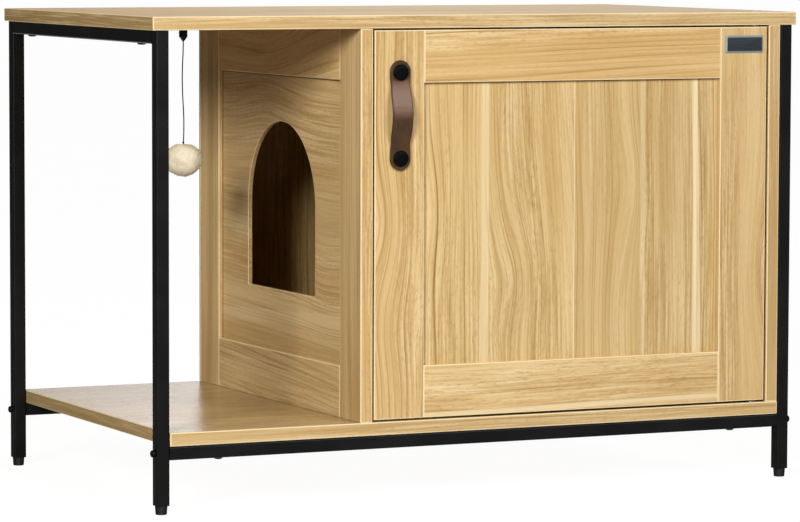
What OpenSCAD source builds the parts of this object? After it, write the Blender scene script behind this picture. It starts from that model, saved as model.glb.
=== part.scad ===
// Cat house: a low table on a square steel frame, with a cabinet under its right side.
// The cabinet's side wall has an arched cat entrance, and its front is a framed door on pivot pins.
// A felt ball hangs from the top board over the open shelf at the left.
// X runs to the right, Y to the back and Z up. The origin is on the floor, in the middle of the outer box.

/* [Boards] */
// Width of the top board
top_w = 805; // [700:5:1100]
// Depth of the top board
top_d = 475; // [420:5:600]
// Height of the top board's upper face above the floor
overall_h = 545; // [500:5:700]
// Thickness of the top board, the shelf, the walls and the door
board_t = 15; // [14:0.5:20]
// Height of the shelf's upper face above the floor
shelf_h = 90; // [60:5:130]
// Thickness of the back panel
back_t = 5; // [3:0.5:8]
// Side clearance between the shelf and the legs
shelf_gap = 0.5; // [0.2:0.1:1]

/* [Steel frame] */
// Outer width of the square tube
tube = 15; // [14:0.5:20]
// Wall of the square tube
tube_wall = 1.2; // [1:0.1:1.5]
// Outer corner radius of the square tube
tube_r = 2; // [1:0.25:3]
// Distance from a side edge of the top board to the legs
side_inset = 4.5; // [3:0.5:15]
// Distance from the front or rear edge of the top board to the legs
front_inset = 1.5; // [0.5:0.5:8]
// Height of the feet below the legs
foot_h = 10; // [6:1:20]
// Diameter of a foot where it meets the leg
foot_d = 14; // [11:0.5:14]
// Diameter of a foot at the floor
foot_base_d = 12.6; // [10:0.2:13]
// Length of a foot's square plug inside the leg
foot_plug = 14; // [8:1:25]
// Rounding of a foot's lower edge
foot_edge = 1; // [0.5:0.1:2]

/* [Side wall] */
// Width of the open bay between the left legs and the side wall
bay_w = 229; // [190:1:260]
// Width of the side wall's stiles
wall_stile_w = 57; // [50:1:70]
// Width of the side wall's rails
wall_rail_w = 59; // [40:1:80]
// Thickness of the thin panels in the side wall and in the door
panel_t = 5; // [4:0.5:8]
// Depth of the grooves that hold the thin panels
groove_d = 8; // [6:1:12]
// Play of a thin panel at the bottom of its groove
panel_play = 0.5; // [0.2:0.1:1]
// Width of the arched entrance
arch_w = 195; // [150:5:230]
// Height of the arched entrance, from its sill to its crown
arch_h = 197; // [150:1:230]
// Height of the entrance's sill above the shelf
arch_sill = 130; // [75:5:140]

/* [Right wall] */
// Gap between the right wall and the right legs
wall_gap = 1; // [0:0.5:4]

/* [Door] */
// Width of the door's stiles
door_stile_w = 61; // [50:1:80]
// Width of the door's rails
door_rail_w = 59; // [40:1:80]
// Gap at the door's free edge
door_gap_free = 2; // [1:0.25:4]
// Gap at the door's hinge edge
door_gap_hinge = 3; // [2:0.25:5]
// Gap above the door
door_gap_top = 2; // [1.5:0.25:4]
// Gap below the door
door_gap_low = 2.5; // [1.5:0.25:4]

/* [Hinge] */
// Distance from the door's hinge edge to the pivot pins
hinge_inset = 12; // [10:0.5:20]
// Diameter of the pivot pins
pin_d = 5; // [4:0.5:6]
// Length of a pivot pin in the top board or in the shelf
pin_seat = 9; // [6:0.5:11]
// Length of a pivot pin inside its bush
pin_reach = 9; // [6:0.5:11]
// Diameter of the collar on a pivot pin
collar_d = 10; // [8:0.5:12]
// Play between a collar and the door
collar_play = 0.3; // [0.2:0.05:0.6]
// Outer diameter of the bushes in the door
bush_d = 8; // [7.5:0.5:9]
// Length of the bushes in the door
bush_len = 12; // [12:0.5:20]
// Radial clearance between a pin and its bush
pin_play = 0.05; // [0.02:0.01:0.1]

/* [Handle] */
// Width of the leather strap
strap_w = 25; // [20:1:32]
// Length of the strap over its round ends, laid flat on the door
strap_len = 123; // [116:1:130]
// Thickness of the strap
strap_t = 2.5; // [1.5:0.25:4]
// Finger gap between the strap's middle and the door
strap_gap = 8; // [6:0.5:20]
// Length of the strap's raised part
strap_span = 80; // [68:1:84]
// Distance between the strap's two screws
handle_pitch = 96; // [92:1:100]
// Distance from the door's upper edge to the handle's middle
handle_drop = 95; // [70:0.5:300]
// Distance from the door's free edge to the handle's middle
handle_inset = 30.5; // [20:0.5:40]
// Diameter of the round caps on the strap
cap_d = 18; // [12:0.5:20]
// Height of the round caps
cap_h = 4; // [3.5:0.5:6]
// Height of a round cap's straight side
cap_rim = 1.8; // [1:0.1:3]
// Diameter of the handle's machine screws
handle_screw_d = 4; // [3:0.5:5]

/* [Plate] */
// Width of the blank plate on the door
plate_w = 50; // [30:1:54]
// Height of the blank plate
plate_h = 20; // [10:1:30]
// Thickness of the blank plate
plate_t = 2; // [1:0.25:3]
// Width of the plate's bevel
plate_bevel = 2; // [1:0.25:4]
// Distance from the door's upper edge to the plate's middle
plate_drop = 20; // [16:0.5:60]

/* [Door catch] */
// Width of the magnetic catch
catch_w = 46; // [40:1:60]
// Depth of the magnetic catch
catch_d = 14; // [10:1:20]
// Height of the catch's case below its magnet
catch_lip = 2; // [1:0.5:4]
// Distance from the door's free stile to the catch's middle
catch_inset = 30; // [24:1:80]
// Air gap between the catch and the strike plate
catch_gap = 0.3; // [0.3:0.1:1]
// Thickness of the strike plate
strike_t = 1.2; // [0.8:0.1:2]
// Height of the strike plate
strike_h = 12; // [9:0.5:16]
// Distance from the door's upper edge to the strike plate
strike_edge = 1; // [0.5:0.5:4]

/* [Hanging toy] */
// Distance from the left legs to the toy's axis
toy_inset = 112.5; // [60:0.5:130]
// Diameter of the cap that the cord hangs from
toy_cap_d = 9.8; // [7:0.1:14]
// Height of that cap
toy_cap_h = 18.4; // [14:0.2:30]
// Height of the cap's conical end
toy_cone_h = 4.2; // [1.5:0.1:6]
// Diameter of the knot that the cord swings on
knot_d = 2.4; // [2:0.1:3]
// Diameter of the cord
cord_d = 1.4; // [1:0.1:2]
// Width of the felt ball
ball_w = 45; // [30:1:60]
// Height of the felt ball
ball_h = 39; // [30:1:60]

/* [Fasteners] */
// Diameter of the wood screws in the boards
screw_d = 4; // [3:0.25:5]
// Diameter of their round heads
screw_head_d = 10; // [8:0.5:11]
// Height of their round heads
screw_head_h = 2.2; // [1.5:0.1:3]
// Depth of a wood screw in the board that it holds
screw_bite = 10; // [6:0.5:11]
// Distance from the frame's front or rear face to the screws under the top board
top_screw_inset = 62; // [30:1:120]
// Distance from the legs to the screws under the shelf
shelf_screw_inset = 60; // [30:1:90]
// Diameter of the bolts that join the legs to the stretchers
bolt_d = 4; // [3:0.5:6]
// Diameter of the bolts' straight heads
bolt_head_d = 7.8; // [7:0.2:11]
// Height of the bolt heads
bolt_head_h = 4.2; // [3:0.1:4.4]
// Length of the threaded plugs in the stretchers
insert_len = 14; // [10:1:25]
// Diameter of the dowels
dowel_d = 6; // [5:0.5:8]
// Depth of a dowel in the top board or in the shelf
dowel_low = 10; // [6:0.5:11]
// Depth of a dowel in a wall
dowel_high = 20; // [12:1:30]
// Distance from a wall's front or rear edge to its dowels
dowel_inset = 40; // [36:1:42]
// Diameter of the cam locks
cam_d = 15; // [12:0.5:16]
// Distance from a wall's upper edge to the middle of its cam locks
cam_drop = 34; // [24:1:40]
// Distance from a wall's front or rear edge to its cam locks and screws
cam_inset = 20; // [16:0.5:22]
// Diameter of the cam bolts
cam_bolt_d = 5; // [4:0.5:6]
// Clearance around screws, bolts and dowels in their holes
snug = 0.05; // [0.02:0.01:0.2]

/* [Hidden] */
$fn = 48;
// Overshoot of a cut past a face
cut = 1;

// The strap stands out past the top board, so the boards sit back by half of that
board_cy = max(0, strap_gap + strap_t - front_inset) / 2;
top_under = overall_h - board_t;
shelf_under = shelf_h - board_t;

// Legs and rails
leg_out = top_w / 2 - side_inset;
leg_in = leg_out - tube;
frame_front = board_cy - top_d / 2 + front_inset;
frame_rear = board_cy + top_d / 2 - front_inset;
stretcher_low = shelf_under - tube;
tube_bore = tube - 2 * tube_wall;

// Walls: front and rear edges, height and outer faces
wall_d = frame_rear - back_t - frame_front;
wall_h = top_under - shelf_h;
side_wall_x = bay_w - leg_in;
right_wall_x = leg_in - wall_gap - board_t;
panel_side = (board_t - panel_t) / 2;
spring_z = arch_sill + arch_h - arch_w / 2;

// Door: corner, width and height
door_x = side_wall_x + board_t + door_gap_free;
door_w = right_wall_x - door_gap_hinge - door_x;
door_z = shelf_h + door_gap_low;
door_h = top_under - door_gap_top - door_z;
door_back = frame_front + board_t;
hinge_x = door_x + door_w - hinge_inset;
hinge_y = frame_front + board_t / 2;

// Handle
handle_x = door_x + handle_inset;
handle_mid = door_z + door_h - handle_drop;
strap_end_r = strap_w / 2;
strap_steps = 20;
handle_head_d = 8;
handle_head_h = 2.4;
handle_bite = 2.5;

// Thickness of the blank plate at its rim
plate_rim = plate_t / 3;

// Catch
catch_x = door_x + door_stile_w + catch_inset;
catch_y = door_back + strike_t + catch_gap;
catch_screw_d = 3;
catch_ear = 6;
catch_head_d = 5.5;
catch_head_h = 1.5;
magnet_w = 18;
magnet_h = 5;
magnet_back = 3;
magnet_set = 1;
pole_t = 1.5;
strike_w = 38;
strike_screw_len = 10;
strike_z = door_z + door_h - strike_edge - strike_h / 2;
catch_z = strike_z - magnet_h / 2 - pole_t - catch_lip;
catch_h = top_under - catch_z;

// Toy: the cap's lower end, and the point that the cord swings about
toy_x = toy_inset - leg_in;
toy_y = board_cy;
toy_tip = top_under - toy_cap_h;
toy_tip_r = 1.8;
knot_out = 0.3;
knot_play = 0.05;
pivot_z = toy_tip - knot_out;
cord_start = knot_d / 2 + knot_play;
stud_d = 3;
stud_up = 9;
stud_down = 9;
// The cord's route below the pivot: sideways, backwards and down
cord_route = [[0, 0, cord_start], [0, 0, 6], [-0.2, 0.1, 14], [-0.5, 0.3, 22], [-0.8, 0.4, 30],
    [-1, 0.4, 38], [-1.1, 0.3, 46], [-1, 0.1, 54], [-0.8, -0.1, 62], [-0.5, -0.3, 70],
    [-0.1, -0.4, 78], [0.3, -0.4, 86], [0.5, -0.3, 94], [0.5, -0.2, 102], [0.3, -0.1, 110],
    [0, 0, 116], [0, 0, 120]];
cord_sides = 8;
cord_splits = 2;
// Depth of the cord's end inside the ball
cord_sunk = 3;
ball_z = pivot_z - cord_route[len(cord_route) - 1][2] + cord_sunk - ball_h / 2;
ball_steps = 24;

// Heads and tips that all screws share
screw_tip = 3;
slot_w = 0.8;
slot_depth = 1;
back_screw_d = 3;
back_screw_len = 14;
back_screw_head_d = 6;
back_screw_head_h = 1.2;
back_screw_inset = 40;
base_head_d = 8;
base_head_h = 2.5;
base_screw_bite = 25;
cam_skin = 3;
cam_h = board_t - cam_skin;
cam_slot_w = 8;
cam_head_h = 3;
cam_neck = 6;
cam_head_d = cam_bolt_d + 2;
bolt_hex = 3.4;
bolt_hex_depth = 2;
bolt_head_edge = 0.7;
bolt_len = tube + insert_len - 1;
// Share of a head's diameter that its slots span, steps of a domed head's profile, and the power
// of its angle's sine that its radius follows, which flattens its top
slot_share = 0.5;
dome_steps = 4;
dome_power = 0.5;

steel_black = [0.12, 0.12, 0.12];
oak = [0.84, 0.7, 0.5];
oak_panel = [0.86, 0.73, 0.54];
zinc = [0.72, 0.73, 0.75];
beech = [0.8, 0.66, 0.46];
leather = [0.4, 0.28, 0.2];
felt = [0.93, 0.89, 0.8];
plate_grey = [0.3, 0.33, 0.36];
plastic_white = [0.9, 0.9, 0.88];
ceramic = [0.25, 0.24, 0.24];
cord_black = [0.2, 0.2, 0.2];

// Square with round corners
module rounded_square(side, r) {
    square([side, side - 2 * r], center = true);
    square([side - 2 * r, side], center = true);
    for (x = [-1, 1], y = [-1, 1])
        translate([x * (side / 2 - r), y * (side / 2 - r)])
            circle(r);
}

// Square tube along Z
module square_tube(length)
    linear_extrude(length)
        difference() {
            rounded_square(tube, tube_r);
            square(tube_bore, center = true);
        }

// Profile of a flattened dome below z = 0, from its middle to its rim
function dome(d, h) =
    [for (i = [0:dome_steps])
        let (a = 90 * i / dome_steps) [d / 2 * pow(sin(a), dome_power), -h * cos(a)]];

// Cross-shaped cut around z = 0 for a screwdriver
module cross_slot(head_d)
    for (a = [0, 90])
        rotate([0, 0, a])
            cube([head_d * slot_share, slot_w, 2 * slot_depth], center = true);

// Round bar along Z with a pointed end and a domed head below z = 0
module screw(d, length, head_d, head_h)
    difference() {
        rotate_extrude()
            polygon(concat(dome(head_d, head_h),
                [[d / 2, 0], [d / 2, length - screw_tip], [0, length]]));
        translate([0, 0, -head_h]) cross_slot(head_d);
    }

// Countersunk wood screw along Z, its flat head at z = 0
module flat_screw(d, length, head_d, head_h)
    difference() {
        rotate_extrude()
            polygon([[0, 0], [head_d / 2, 0], [d / 2, head_h], [d / 2, length - screw_tip],
                [0, length]]);
        cross_slot(head_d);
    }

// Hole along Z for a screw, a bolt or a dowel of diameter d
module hole(d, length) cylinder(d = d + 2 * snug, h = length);

// Places of the legs: x and y of each tube's middle
leg_xs = [-leg_out + tube / 2, leg_out - tube / 2];
leg_ys = [frame_front + tube / 2, frame_rear - tube / 2];
bolt_z = stretcher_low + tube / 2;
top_screw_ys = [frame_front + top_screw_inset, frame_rear - top_screw_inset];
shelf_screw_xs = [-leg_in + shelf_screw_inset, leg_in - shelf_screw_inset];

// Leg with its cross holes for the stretcher's bolt
module leg(x, y)
    color(steel_black)
        difference() {
            translate([x, y, foot_h]) square_tube(top_under - foot_h);
            translate([x - tube / 2 - cut, y, bolt_z])
                rotate([0, 90, 0]) hole(bolt_d, tube + 2 * cut);
        }

module front_left_leg() leg(leg_xs[0], leg_ys[0]);
module rear_left_leg() leg(leg_xs[0], leg_ys[1]);
module front_right_leg() leg(leg_xs[1], leg_ys[0]);
module rear_right_leg() leg(leg_xs[1], leg_ys[1]);

// Rail along Y between two legs, under the top board
module top_rail(x)
    color(steel_black)
        difference() {
            translate([x, frame_rear - tube, top_under - tube / 2])
                rotate([90, 0, 0]) square_tube(frame_rear - frame_front - 2 * tube);
            for (y = top_screw_ys)
                translate([x, y, top_under - tube - cut]) hole(screw_d, tube + 2 * cut);
        }

module left_top_rail() top_rail(leg_xs[0]);
module right_top_rail() top_rail(leg_xs[1]);

// Stretcher along X between two legs, under the shelf
module stretcher(y)
    color(steel_black)
        difference() {
            translate([-leg_in, y, bolt_z]) rotate([0, 90, 0]) square_tube(2 * leg_in);
            for (x = shelf_screw_xs)
                translate([x, y, stretcher_low - cut]) hole(screw_d, tube + 2 * cut);
        }

module front_stretcher() stretcher(leg_ys[0]);
module rear_stretcher() stretcher(leg_ys[1]);

// Tapered foot with a square plug that fills the leg's end
module foot() {
    rotate_extrude()
        polygon(concat([[0, 0]],
            [for (i = [0:dome_steps])
                let (a = 90 * i / dome_steps)
                    [foot_base_d / 2 - foot_edge * (1 - sin(a)), foot_edge * (1 - cos(a))]],
            [[foot_d / 2, foot_h], [0, foot_h]]));
    translate([0, 0, foot_h + foot_plug / 2])
        cube([tube_bore - 2 * snug, tube_bore - 2 * snug, foot_plug], center = true);
}

module feet()
    color(steel_black)
        for (x = leg_xs, y = leg_ys)
            translate([x, y, 0]) foot();

// Threaded square plugs in the ends of the stretchers
module stretcher_inserts()
    color(zinc)
        for (side = [-1, 1], y = leg_ys)
            translate([side * (leg_in - insert_len / 2), y, bolt_z])
                difference() {
                    cube([insert_len, tube_bore - 2 * snug, tube_bore - 2 * snug], center = true);
                    rotate([0, 90, 0])
                        translate([0, 0, -insert_len / 2 - cut]) hole(bolt_d, insert_len + 2 * cut);
                }

// Bolt along Z with a straight round head below z = 0 and a hexagon socket in it
module bolt()
    difference() {
        rotate_extrude()
            polygon([[0, -bolt_head_h], [bolt_head_d / 2 - bolt_head_edge, -bolt_head_h],
                [bolt_head_d / 2, bolt_head_edge - bolt_head_h], [bolt_head_d / 2, 0],
                [bolt_d / 2, 0], [bolt_d / 2, bolt_len], [0, bolt_len]]);
        translate([0, 0, -bolt_head_h - cut])
            cylinder(d = bolt_hex, h = bolt_hex_depth + cut, $fn = 6);
    }

module stretcher_bolts()
    color(steel_black)
        for (side = [-1, 1], y = leg_ys)
            translate([side * leg_out, y, bolt_z]) rotate([0, -side * 90, 0]) bolt();

// Screws up through the top rails into the top board
module top_board_screws()
    color(steel_black)
        for (x = leg_xs, y = top_screw_ys)
            translate([x, y, top_under - tube])
                screw(screw_d, tube + screw_bite, screw_head_d, screw_head_h);

// Screws up through the stretchers into the shelf
module shelf_screws()
    color(steel_black)
        for (x = shelf_screw_xs, y = leg_ys)
            translate([x, y, stretcher_low])
                screw(screw_d, tube + screw_bite, screw_head_d, screw_head_h);

// Places of the wall fittings along Y, at the middle of each wall's thickness along X
wall_xs = [side_wall_x + board_t / 2, right_wall_x + board_t / 2];
wall_ys = [frame_front, frame_front + wall_d];
cam_ys = [wall_ys[0] + cam_inset, wall_ys[1] - cam_inset];
dowel_ys = [wall_ys[0] + dowel_inset, wall_ys[1] - dowel_inset];

// Children at each wall fitting's x and y
module at_fittings(ys)
    for (x = wall_xs, y = ys)
        translate([x, y, 0]) children();

module wall_dowels()
    color(beech) {
        at_fittings(dowel_ys)
            translate([0, 0, top_under - dowel_high])
                cylinder(d = dowel_d, h = dowel_high + dowel_low);
        at_fittings(dowel_ys)
            translate([0, 0, shelf_h - dowel_low])
                cylinder(d = dowel_d, h = dowel_high + dowel_low);
    }

// Countersunk screws up through the shelf into the walls
module wall_base_screws()
    color(zinc)
        at_fittings(cam_ys)
            translate([0, 0, shelf_under])
                flat_screw(screw_d, board_t + base_screw_bite, base_head_d, base_head_h);

// Bolts down from the top board, each with a head that its cam lock grips
module cam_bolts()
    color(zinc)
        at_fittings(cam_ys) {
            translate([0, 0, top_under - cam_drop + cam_neck])
                cylinder(d = cam_bolt_d, h = cam_drop - cam_neck + screw_bite);
            translate([0, 0, top_under - cam_drop + cam_neck - cam_head_h])
                cylinder(d = cam_head_d, h = cam_head_h);
        }

// Round cam along Z with an open slot towards +X for the bolt and a cross in its top face
module cam_lock()
    difference() {
        cylinder(d = cam_d - 2 * snug, h = cam_h);
        translate([0, -cam_slot_w / 2, board_t / 2 - cam_skin - cam_slot_w / 2])
            cube([cam_d, cam_slot_w, cam_slot_w]);
        translate([0, 0, cam_h]) cross_slot(cam_d);
    }

module cam_locks()
    color(zinc)
        for (y = cam_ys) {
            translate([side_wall_x + cam_skin, y, top_under - cam_drop])
                rotate([0, 90, 0]) rotate([0, 0, 180]) cam_lock();
            translate([right_wall_x + cam_h, y, top_under - cam_drop])
                rotate([0, -90, 0]) cam_lock();
        }

// Holes that a wall's fittings need: x is the middle of its thickness
module wall_holes(x) {
    for (y = dowel_ys) {
        translate([x, y, top_under - dowel_high]) hole(dowel_d, dowel_high + cut);
        translate([x, y, shelf_h - cut]) hole(dowel_d, dowel_high + cut);
    }
    for (y = cam_ys) {
        translate([x, y, shelf_h - cut]) hole(screw_d, base_screw_bite + cut);
        translate([x, y, top_under - cam_drop]) hole(cam_head_d, cam_drop + cut);
    }
}

// Cam pocket along +X from the wall's skin to its inner face, and along -X in the right wall
module cam_pockets(x, side)
    for (y = cam_ys)
        translate([x, y, top_under - cam_drop])
            rotate([0, side * 90, 0]) cylinder(d = cam_d, h = cam_h + cut);

// Heights of the back panel's screws
back_screw_zs = [shelf_h + back_screw_inset, (shelf_h + top_under) / 2, top_under - back_screw_inset];

// Pilot holes for the back panel's screws, from the wall's rear edge
module back_screw_holes(x, length)
    for (z = back_screw_zs)
        translate([x, frame_rear + cut, z]) rotate([90, 0, 0]) hole(back_screw_d, length + cut);

module top_board()
    color(oak)
        difference() {
            translate([-top_w / 2, board_cy - top_d / 2, top_under]) cube([top_w, top_d, board_t]);
            for (x = leg_xs, y = top_screw_ys)
                translate([x, y, top_under - cut]) hole(screw_d, screw_bite + cut);
            at_fittings(cam_ys)
                translate([0, 0, top_under - cut]) hole(cam_bolt_d, screw_bite + cut);
            at_fittings(dowel_ys)
                translate([0, 0, top_under - cut]) hole(dowel_d, dowel_low + cut);
            translate([hinge_x, hinge_y, top_under - cut]) hole(pin_d, pin_seat + cut);
            for (side = [-1, 1])
                translate([catch_x + side * (catch_w / 2 - catch_ear / 2), catch_y + catch_d / 2,
                    top_under - cut])
                    hole(catch_screw_d, screw_bite + cut);
            translate([toy_x, toy_y, top_under - cut]) hole(stud_d, stud_up + cut);
        }

module shelf_board()
    color(oak)
        difference() {
            translate([-leg_in + shelf_gap, frame_front, shelf_under])
                cube([2 * (leg_in - shelf_gap), frame_rear - frame_front, board_t]);
            for (x = shelf_screw_xs, y = leg_ys)
                translate([x, y, shelf_under - cut]) hole(screw_d, screw_bite + cut);
            at_fittings(cam_ys) {
                translate([0, 0, shelf_under - cut]) hole(screw_d, board_t + 2 * cut);
                translate([0, 0, shelf_under])
                    cylinder(d1 = base_head_d + 2 * snug, d2 = screw_d + 2 * snug, h = base_head_h);
            }
            at_fittings(dowel_ys)
                translate([0, 0, shelf_h - dowel_low]) hole(dowel_d, dowel_low + cut);
            translate([hinge_x, hinge_y, shelf_h - pin_seat]) hole(pin_d, pin_seat + cut);
        }

// Upright of a framed panel, grooved along one edge: x runs across it, y through it and z up
module stile(w, h, groove_at_end)
    difference() {
        cube([w, board_t, h]);
        translate([groove_at_end ? w - groove_d : -cut, panel_side, -cut])
            cube([groove_d + cut, panel_t, h + 2 * cut]);
    }

// Crosspiece of a framed panel with a tongue at each end, grooved along its upper or lower edge
module rail(span, w, groove_on_top) {
    tongue_z = groove_on_top ? 0 : groove_d;
    difference() {
        cube([span, board_t, w]);
        translate([-cut, panel_side, groove_on_top ? w - groove_d : -cut])
            cube([span + 2 * cut, panel_t, groove_d + cut]);
    }
    for (x = [-groove_d, span])
        translate([x, panel_side, tongue_z]) cube([groove_d, panel_t, w - groove_d]);
}

// Thin panel that fills the grooves around an opening of the given span and rise
module thin_panel(span, rise) {
    reach = groove_d - panel_play;
    translate([-reach, panel_side, -reach])
        cube([span + 2 * reach, panel_t, rise + 2 * reach]);
}

// The side wall's own frame: x runs from its front edge to its rear edge, y out into the bay
module at_side_wall()
    translate([side_wall_x + board_t, frame_front, shelf_h])
        rotate([0, 0, 90]) children();

module side_wall_front_stile()
    color(oak)
        difference() {
            at_side_wall() stile(wall_stile_w, wall_h, true);
            wall_holes(wall_xs[0]);
            cam_pockets(side_wall_x + cam_skin, 1);
        }

module side_wall_rear_stile()
    color(oak)
        difference() {
            at_side_wall() translate([wall_d - wall_stile_w, 0, 0]) stile(wall_stile_w, wall_h, false);
            wall_holes(wall_xs[0]);
            cam_pockets(side_wall_x + cam_skin, 1);
            back_screw_holes(wall_xs[0], back_screw_len);
        }

wall_span = wall_d - 2 * wall_stile_w;

module side_wall_top_rail()
    color(oak)
        at_side_wall()
            translate([wall_stile_w, 0, wall_h - wall_rail_w]) rail(wall_span, wall_rail_w, false);

module side_wall_bottom_rail()
    color(oak)
        at_side_wall() translate([wall_stile_w, 0, 0]) rail(wall_span, wall_rail_w, true);

// Arched entrance, cut along the panel's y
module arch_cut() {
    translate([wall_d / 2 - arch_w / 2, -cut, arch_sill])
        cube([arch_w, board_t + 2 * cut, spring_z - arch_sill]);
    translate([wall_d / 2, board_t + cut, spring_z])
        rotate([90, 0, 0]) cylinder(d = arch_w, h = board_t + 2 * cut, $fn = 96);
}

module arched_panel()
    color(oak_panel)
        at_side_wall()
            difference() {
                translate([wall_stile_w, 0, wall_rail_w])
                    thin_panel(wall_span, wall_h - 2 * wall_rail_w);
                arch_cut();
            }

module right_wall()
    color(oak)
        difference() {
            translate([right_wall_x, frame_front, shelf_h]) cube([board_t, wall_d, wall_h]);
            wall_holes(wall_xs[1]);
            cam_pockets(right_wall_x + cam_h, -1);
            back_screw_holes(wall_xs[1], back_screw_len);
        }

module back_panel()
    color(oak_panel)
        difference() {
            translate([side_wall_x, frame_rear - back_t, shelf_h])
                cube([right_wall_x + board_t - side_wall_x, back_t, wall_h]);
            for (x = wall_xs)
                back_screw_holes(x, back_t + cut);
        }

module back_panel_screws()
    color(zinc)
        for (x = wall_xs, z = back_screw_zs)
            translate([x, frame_rear, z])
                rotate([90, 0, 0])
                    screw(back_screw_d, back_screw_len, back_screw_head_d, back_screw_head_h);

// The door's own frame: x runs from its free edge, y from its front face and z from its lower edge
module at_door() translate([door_x, frame_front, door_z]) children();

// Screw holes of the handle through the free stile
module handle_holes()
    for (side = [-1, 1])
        translate([handle_x, door_back + cut, handle_mid + side * handle_pitch / 2])
            rotate([90, 0, 0]) hole(handle_screw_d, board_t + strap_t + 2 * cut);

module door_free_stile()
    color(oak)
        difference() {
            at_door() stile(door_stile_w, door_h, true);
            handle_holes();
        }

module door_hinge_stile()
    color(oak)
        difference() {
            at_door() translate([door_w - door_stile_w, 0, 0]) stile(door_stile_w, door_h, false);
            translate([hinge_x, hinge_y, door_z - cut]) cylinder(d = bush_d, h = bush_len + cut);
            translate([hinge_x, hinge_y, door_z + door_h - bush_len])
                cylinder(d = bush_d, h = bush_len + cut);
        }

door_span = door_w - 2 * door_stile_w;

module door_top_rail()
    color(oak)
        difference() {
            at_door()
                translate([door_stile_w, 0, door_h - door_rail_w]) rail(door_span, door_rail_w, false);
            translate([catch_x, door_back + cut, strike_z])
                rotate([90, 0, 0]) hole(catch_screw_d, strike_screw_len + cut);
        }

module door_bottom_rail()
    color(oak)
        at_door() translate([door_stile_w, 0, 0]) rail(door_span, door_rail_w, true);

module door_panel()
    color(oak_panel)
        at_door()
            translate([door_stile_w, 0, door_rail_w])
                thin_panel(door_span, door_h - 2 * door_rail_w);

// Standing out of the strap's inner face at height z from the strap's middle: a raised cosine
function strap_rise(z) = abs(z) >= strap_span / 2 ? 0 : strap_gap / 2 * (1 + cos(360 * z / strap_span));
strap_zs = [for (i = [0:strap_steps]) strap_span * (i / strap_steps - 0.5)];

module handle_strap()
    color(leather)
        difference() {
            translate([handle_x, frame_front, handle_mid])
                intersection() {
                    rotate([90, 0, 90])
                        linear_extrude(strap_w, center = true)
                            polygon(concat(
                                [[0, -strap_len / 2]],
                                [for (z = strap_zs) [-strap_rise(z), z]],
                                [[0, strap_len / 2], [-strap_t, strap_len / 2]],
                                [for (i = [strap_steps:-1:0])
                                    [-strap_t - strap_rise(strap_zs[i]), strap_zs[i]]],
                                [[-strap_t, -strap_len / 2]]));
                    rotate([90, 0, 0])
                        linear_extrude(strap_gap + strap_t + cut) {
                            square([strap_w, strap_len - 2 * strap_end_r], center = true);
                            for (side = [-1, 1])
                                translate([0, side * (strap_len / 2 - strap_end_r)])
                                    circle(strap_end_r);
                        }
                }
            handle_holes();
        }

// Low round caps over the strap's ends, each with a blind thread for its screw
module handle_caps()
    color(steel_black)
        for (side = [-1, 1])
            translate([handle_x, frame_front - strap_t, handle_mid + side * handle_pitch / 2])
                rotate([90, 0, 0])
                    difference() {
                        rotate_extrude()
                            polygon(concat([[0, 0], [cap_d / 2, 0]],
                                [for (i = [dome_steps:-1:0])
                                    let (p = dome(cap_d, cap_h - cap_rim)[i]) [p[0], cap_rim - p[1]]]));
                        translate([0, 0, -cut]) hole(handle_screw_d, handle_bite + cut);
                    }

// Machine screws from the door's back into the caps
module handle_screws()
    color(zinc)
        for (side = [-1, 1])
            translate([handle_x, door_back, handle_mid + side * handle_pitch / 2])
                rotate([90, 0, 0]) {
                    cylinder(d = handle_screw_d, h = board_t + strap_t + handle_bite);
                    translate([0, 0, -handle_head_h]) cylinder(d = handle_head_d, h = handle_head_h);
                }

// Blank plate with a bevelled rim on the hinge stile
module blank_plate()
    color(plate_grey)
        translate([door_x + door_w - door_stile_w / 2, frame_front,
            door_z + door_h - plate_drop])
            rotate([90, 0, 0])
                hull() {
                    translate([0, 0, plate_rim / 2])
                        cube([plate_w, plate_h, plate_rim], center = true);
                    translate([0, 0, plate_t / 2])
                        cube([plate_w - 2 * plate_bevel, plate_h - 2 * plate_bevel, plate_t],
                            center = true);
                }

// Pin along Z: its seat below z = 0, then a collar and the part that enters the bush
module hinge_pin(gap) {
    translate([0, 0, -pin_seat]) cylinder(d = pin_d, h = pin_seat + gap + pin_reach);
    cylinder(d = collar_d, h = gap - collar_play);
}

module hinge_pins()
    color(zinc) {
        translate([hinge_x, hinge_y, shelf_h]) hinge_pin(door_gap_low);
        translate([hinge_x, hinge_y, top_under]) mirror([0, 0, 1]) hinge_pin(door_gap_top);
    }

module hinge_bushes()
    color(plastic_white)
        for (z = [door_z, door_z + door_h - bush_len])
            translate([hinge_x, hinge_y, z])
                difference() {
                    cylinder(d = bush_d, h = bush_len);
                    translate([0, 0, -cut])
                        cylinder(d = pin_d + 2 * pin_play, h = bush_len + 2 * cut);
                }

// Pocket of the magnet and its two pole plates, open at the catch's front
module magnet_space(grow)
    translate([catch_x, catch_y - cut, strike_z])
        translate([-magnet_w / 2 - grow, 0, -magnet_h / 2 - pole_t - grow])
            cube([magnet_w + 2 * grow, catch_d - magnet_back + cut, magnet_h + 2 * pole_t + 2 * grow]);

module catch_body()
    color(plastic_white)
        difference() {
            translate([catch_x - catch_w / 2, catch_y, catch_z]) cube([catch_w, catch_d, catch_h]);
            magnet_space(snug);
            for (side = [-1, 1])
                translate([catch_x + side * (catch_w / 2 - catch_ear / 2), catch_y + catch_d / 2,
                    catch_z - cut])
                    hole(catch_screw_d, catch_h + 2 * cut);
        }

module catch_magnet()
    color(ceramic)
        translate([catch_x - magnet_w / 2, catch_y + magnet_set, strike_z - magnet_h / 2])
            cube([magnet_w, catch_d - magnet_back - magnet_set, magnet_h]);

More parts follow.
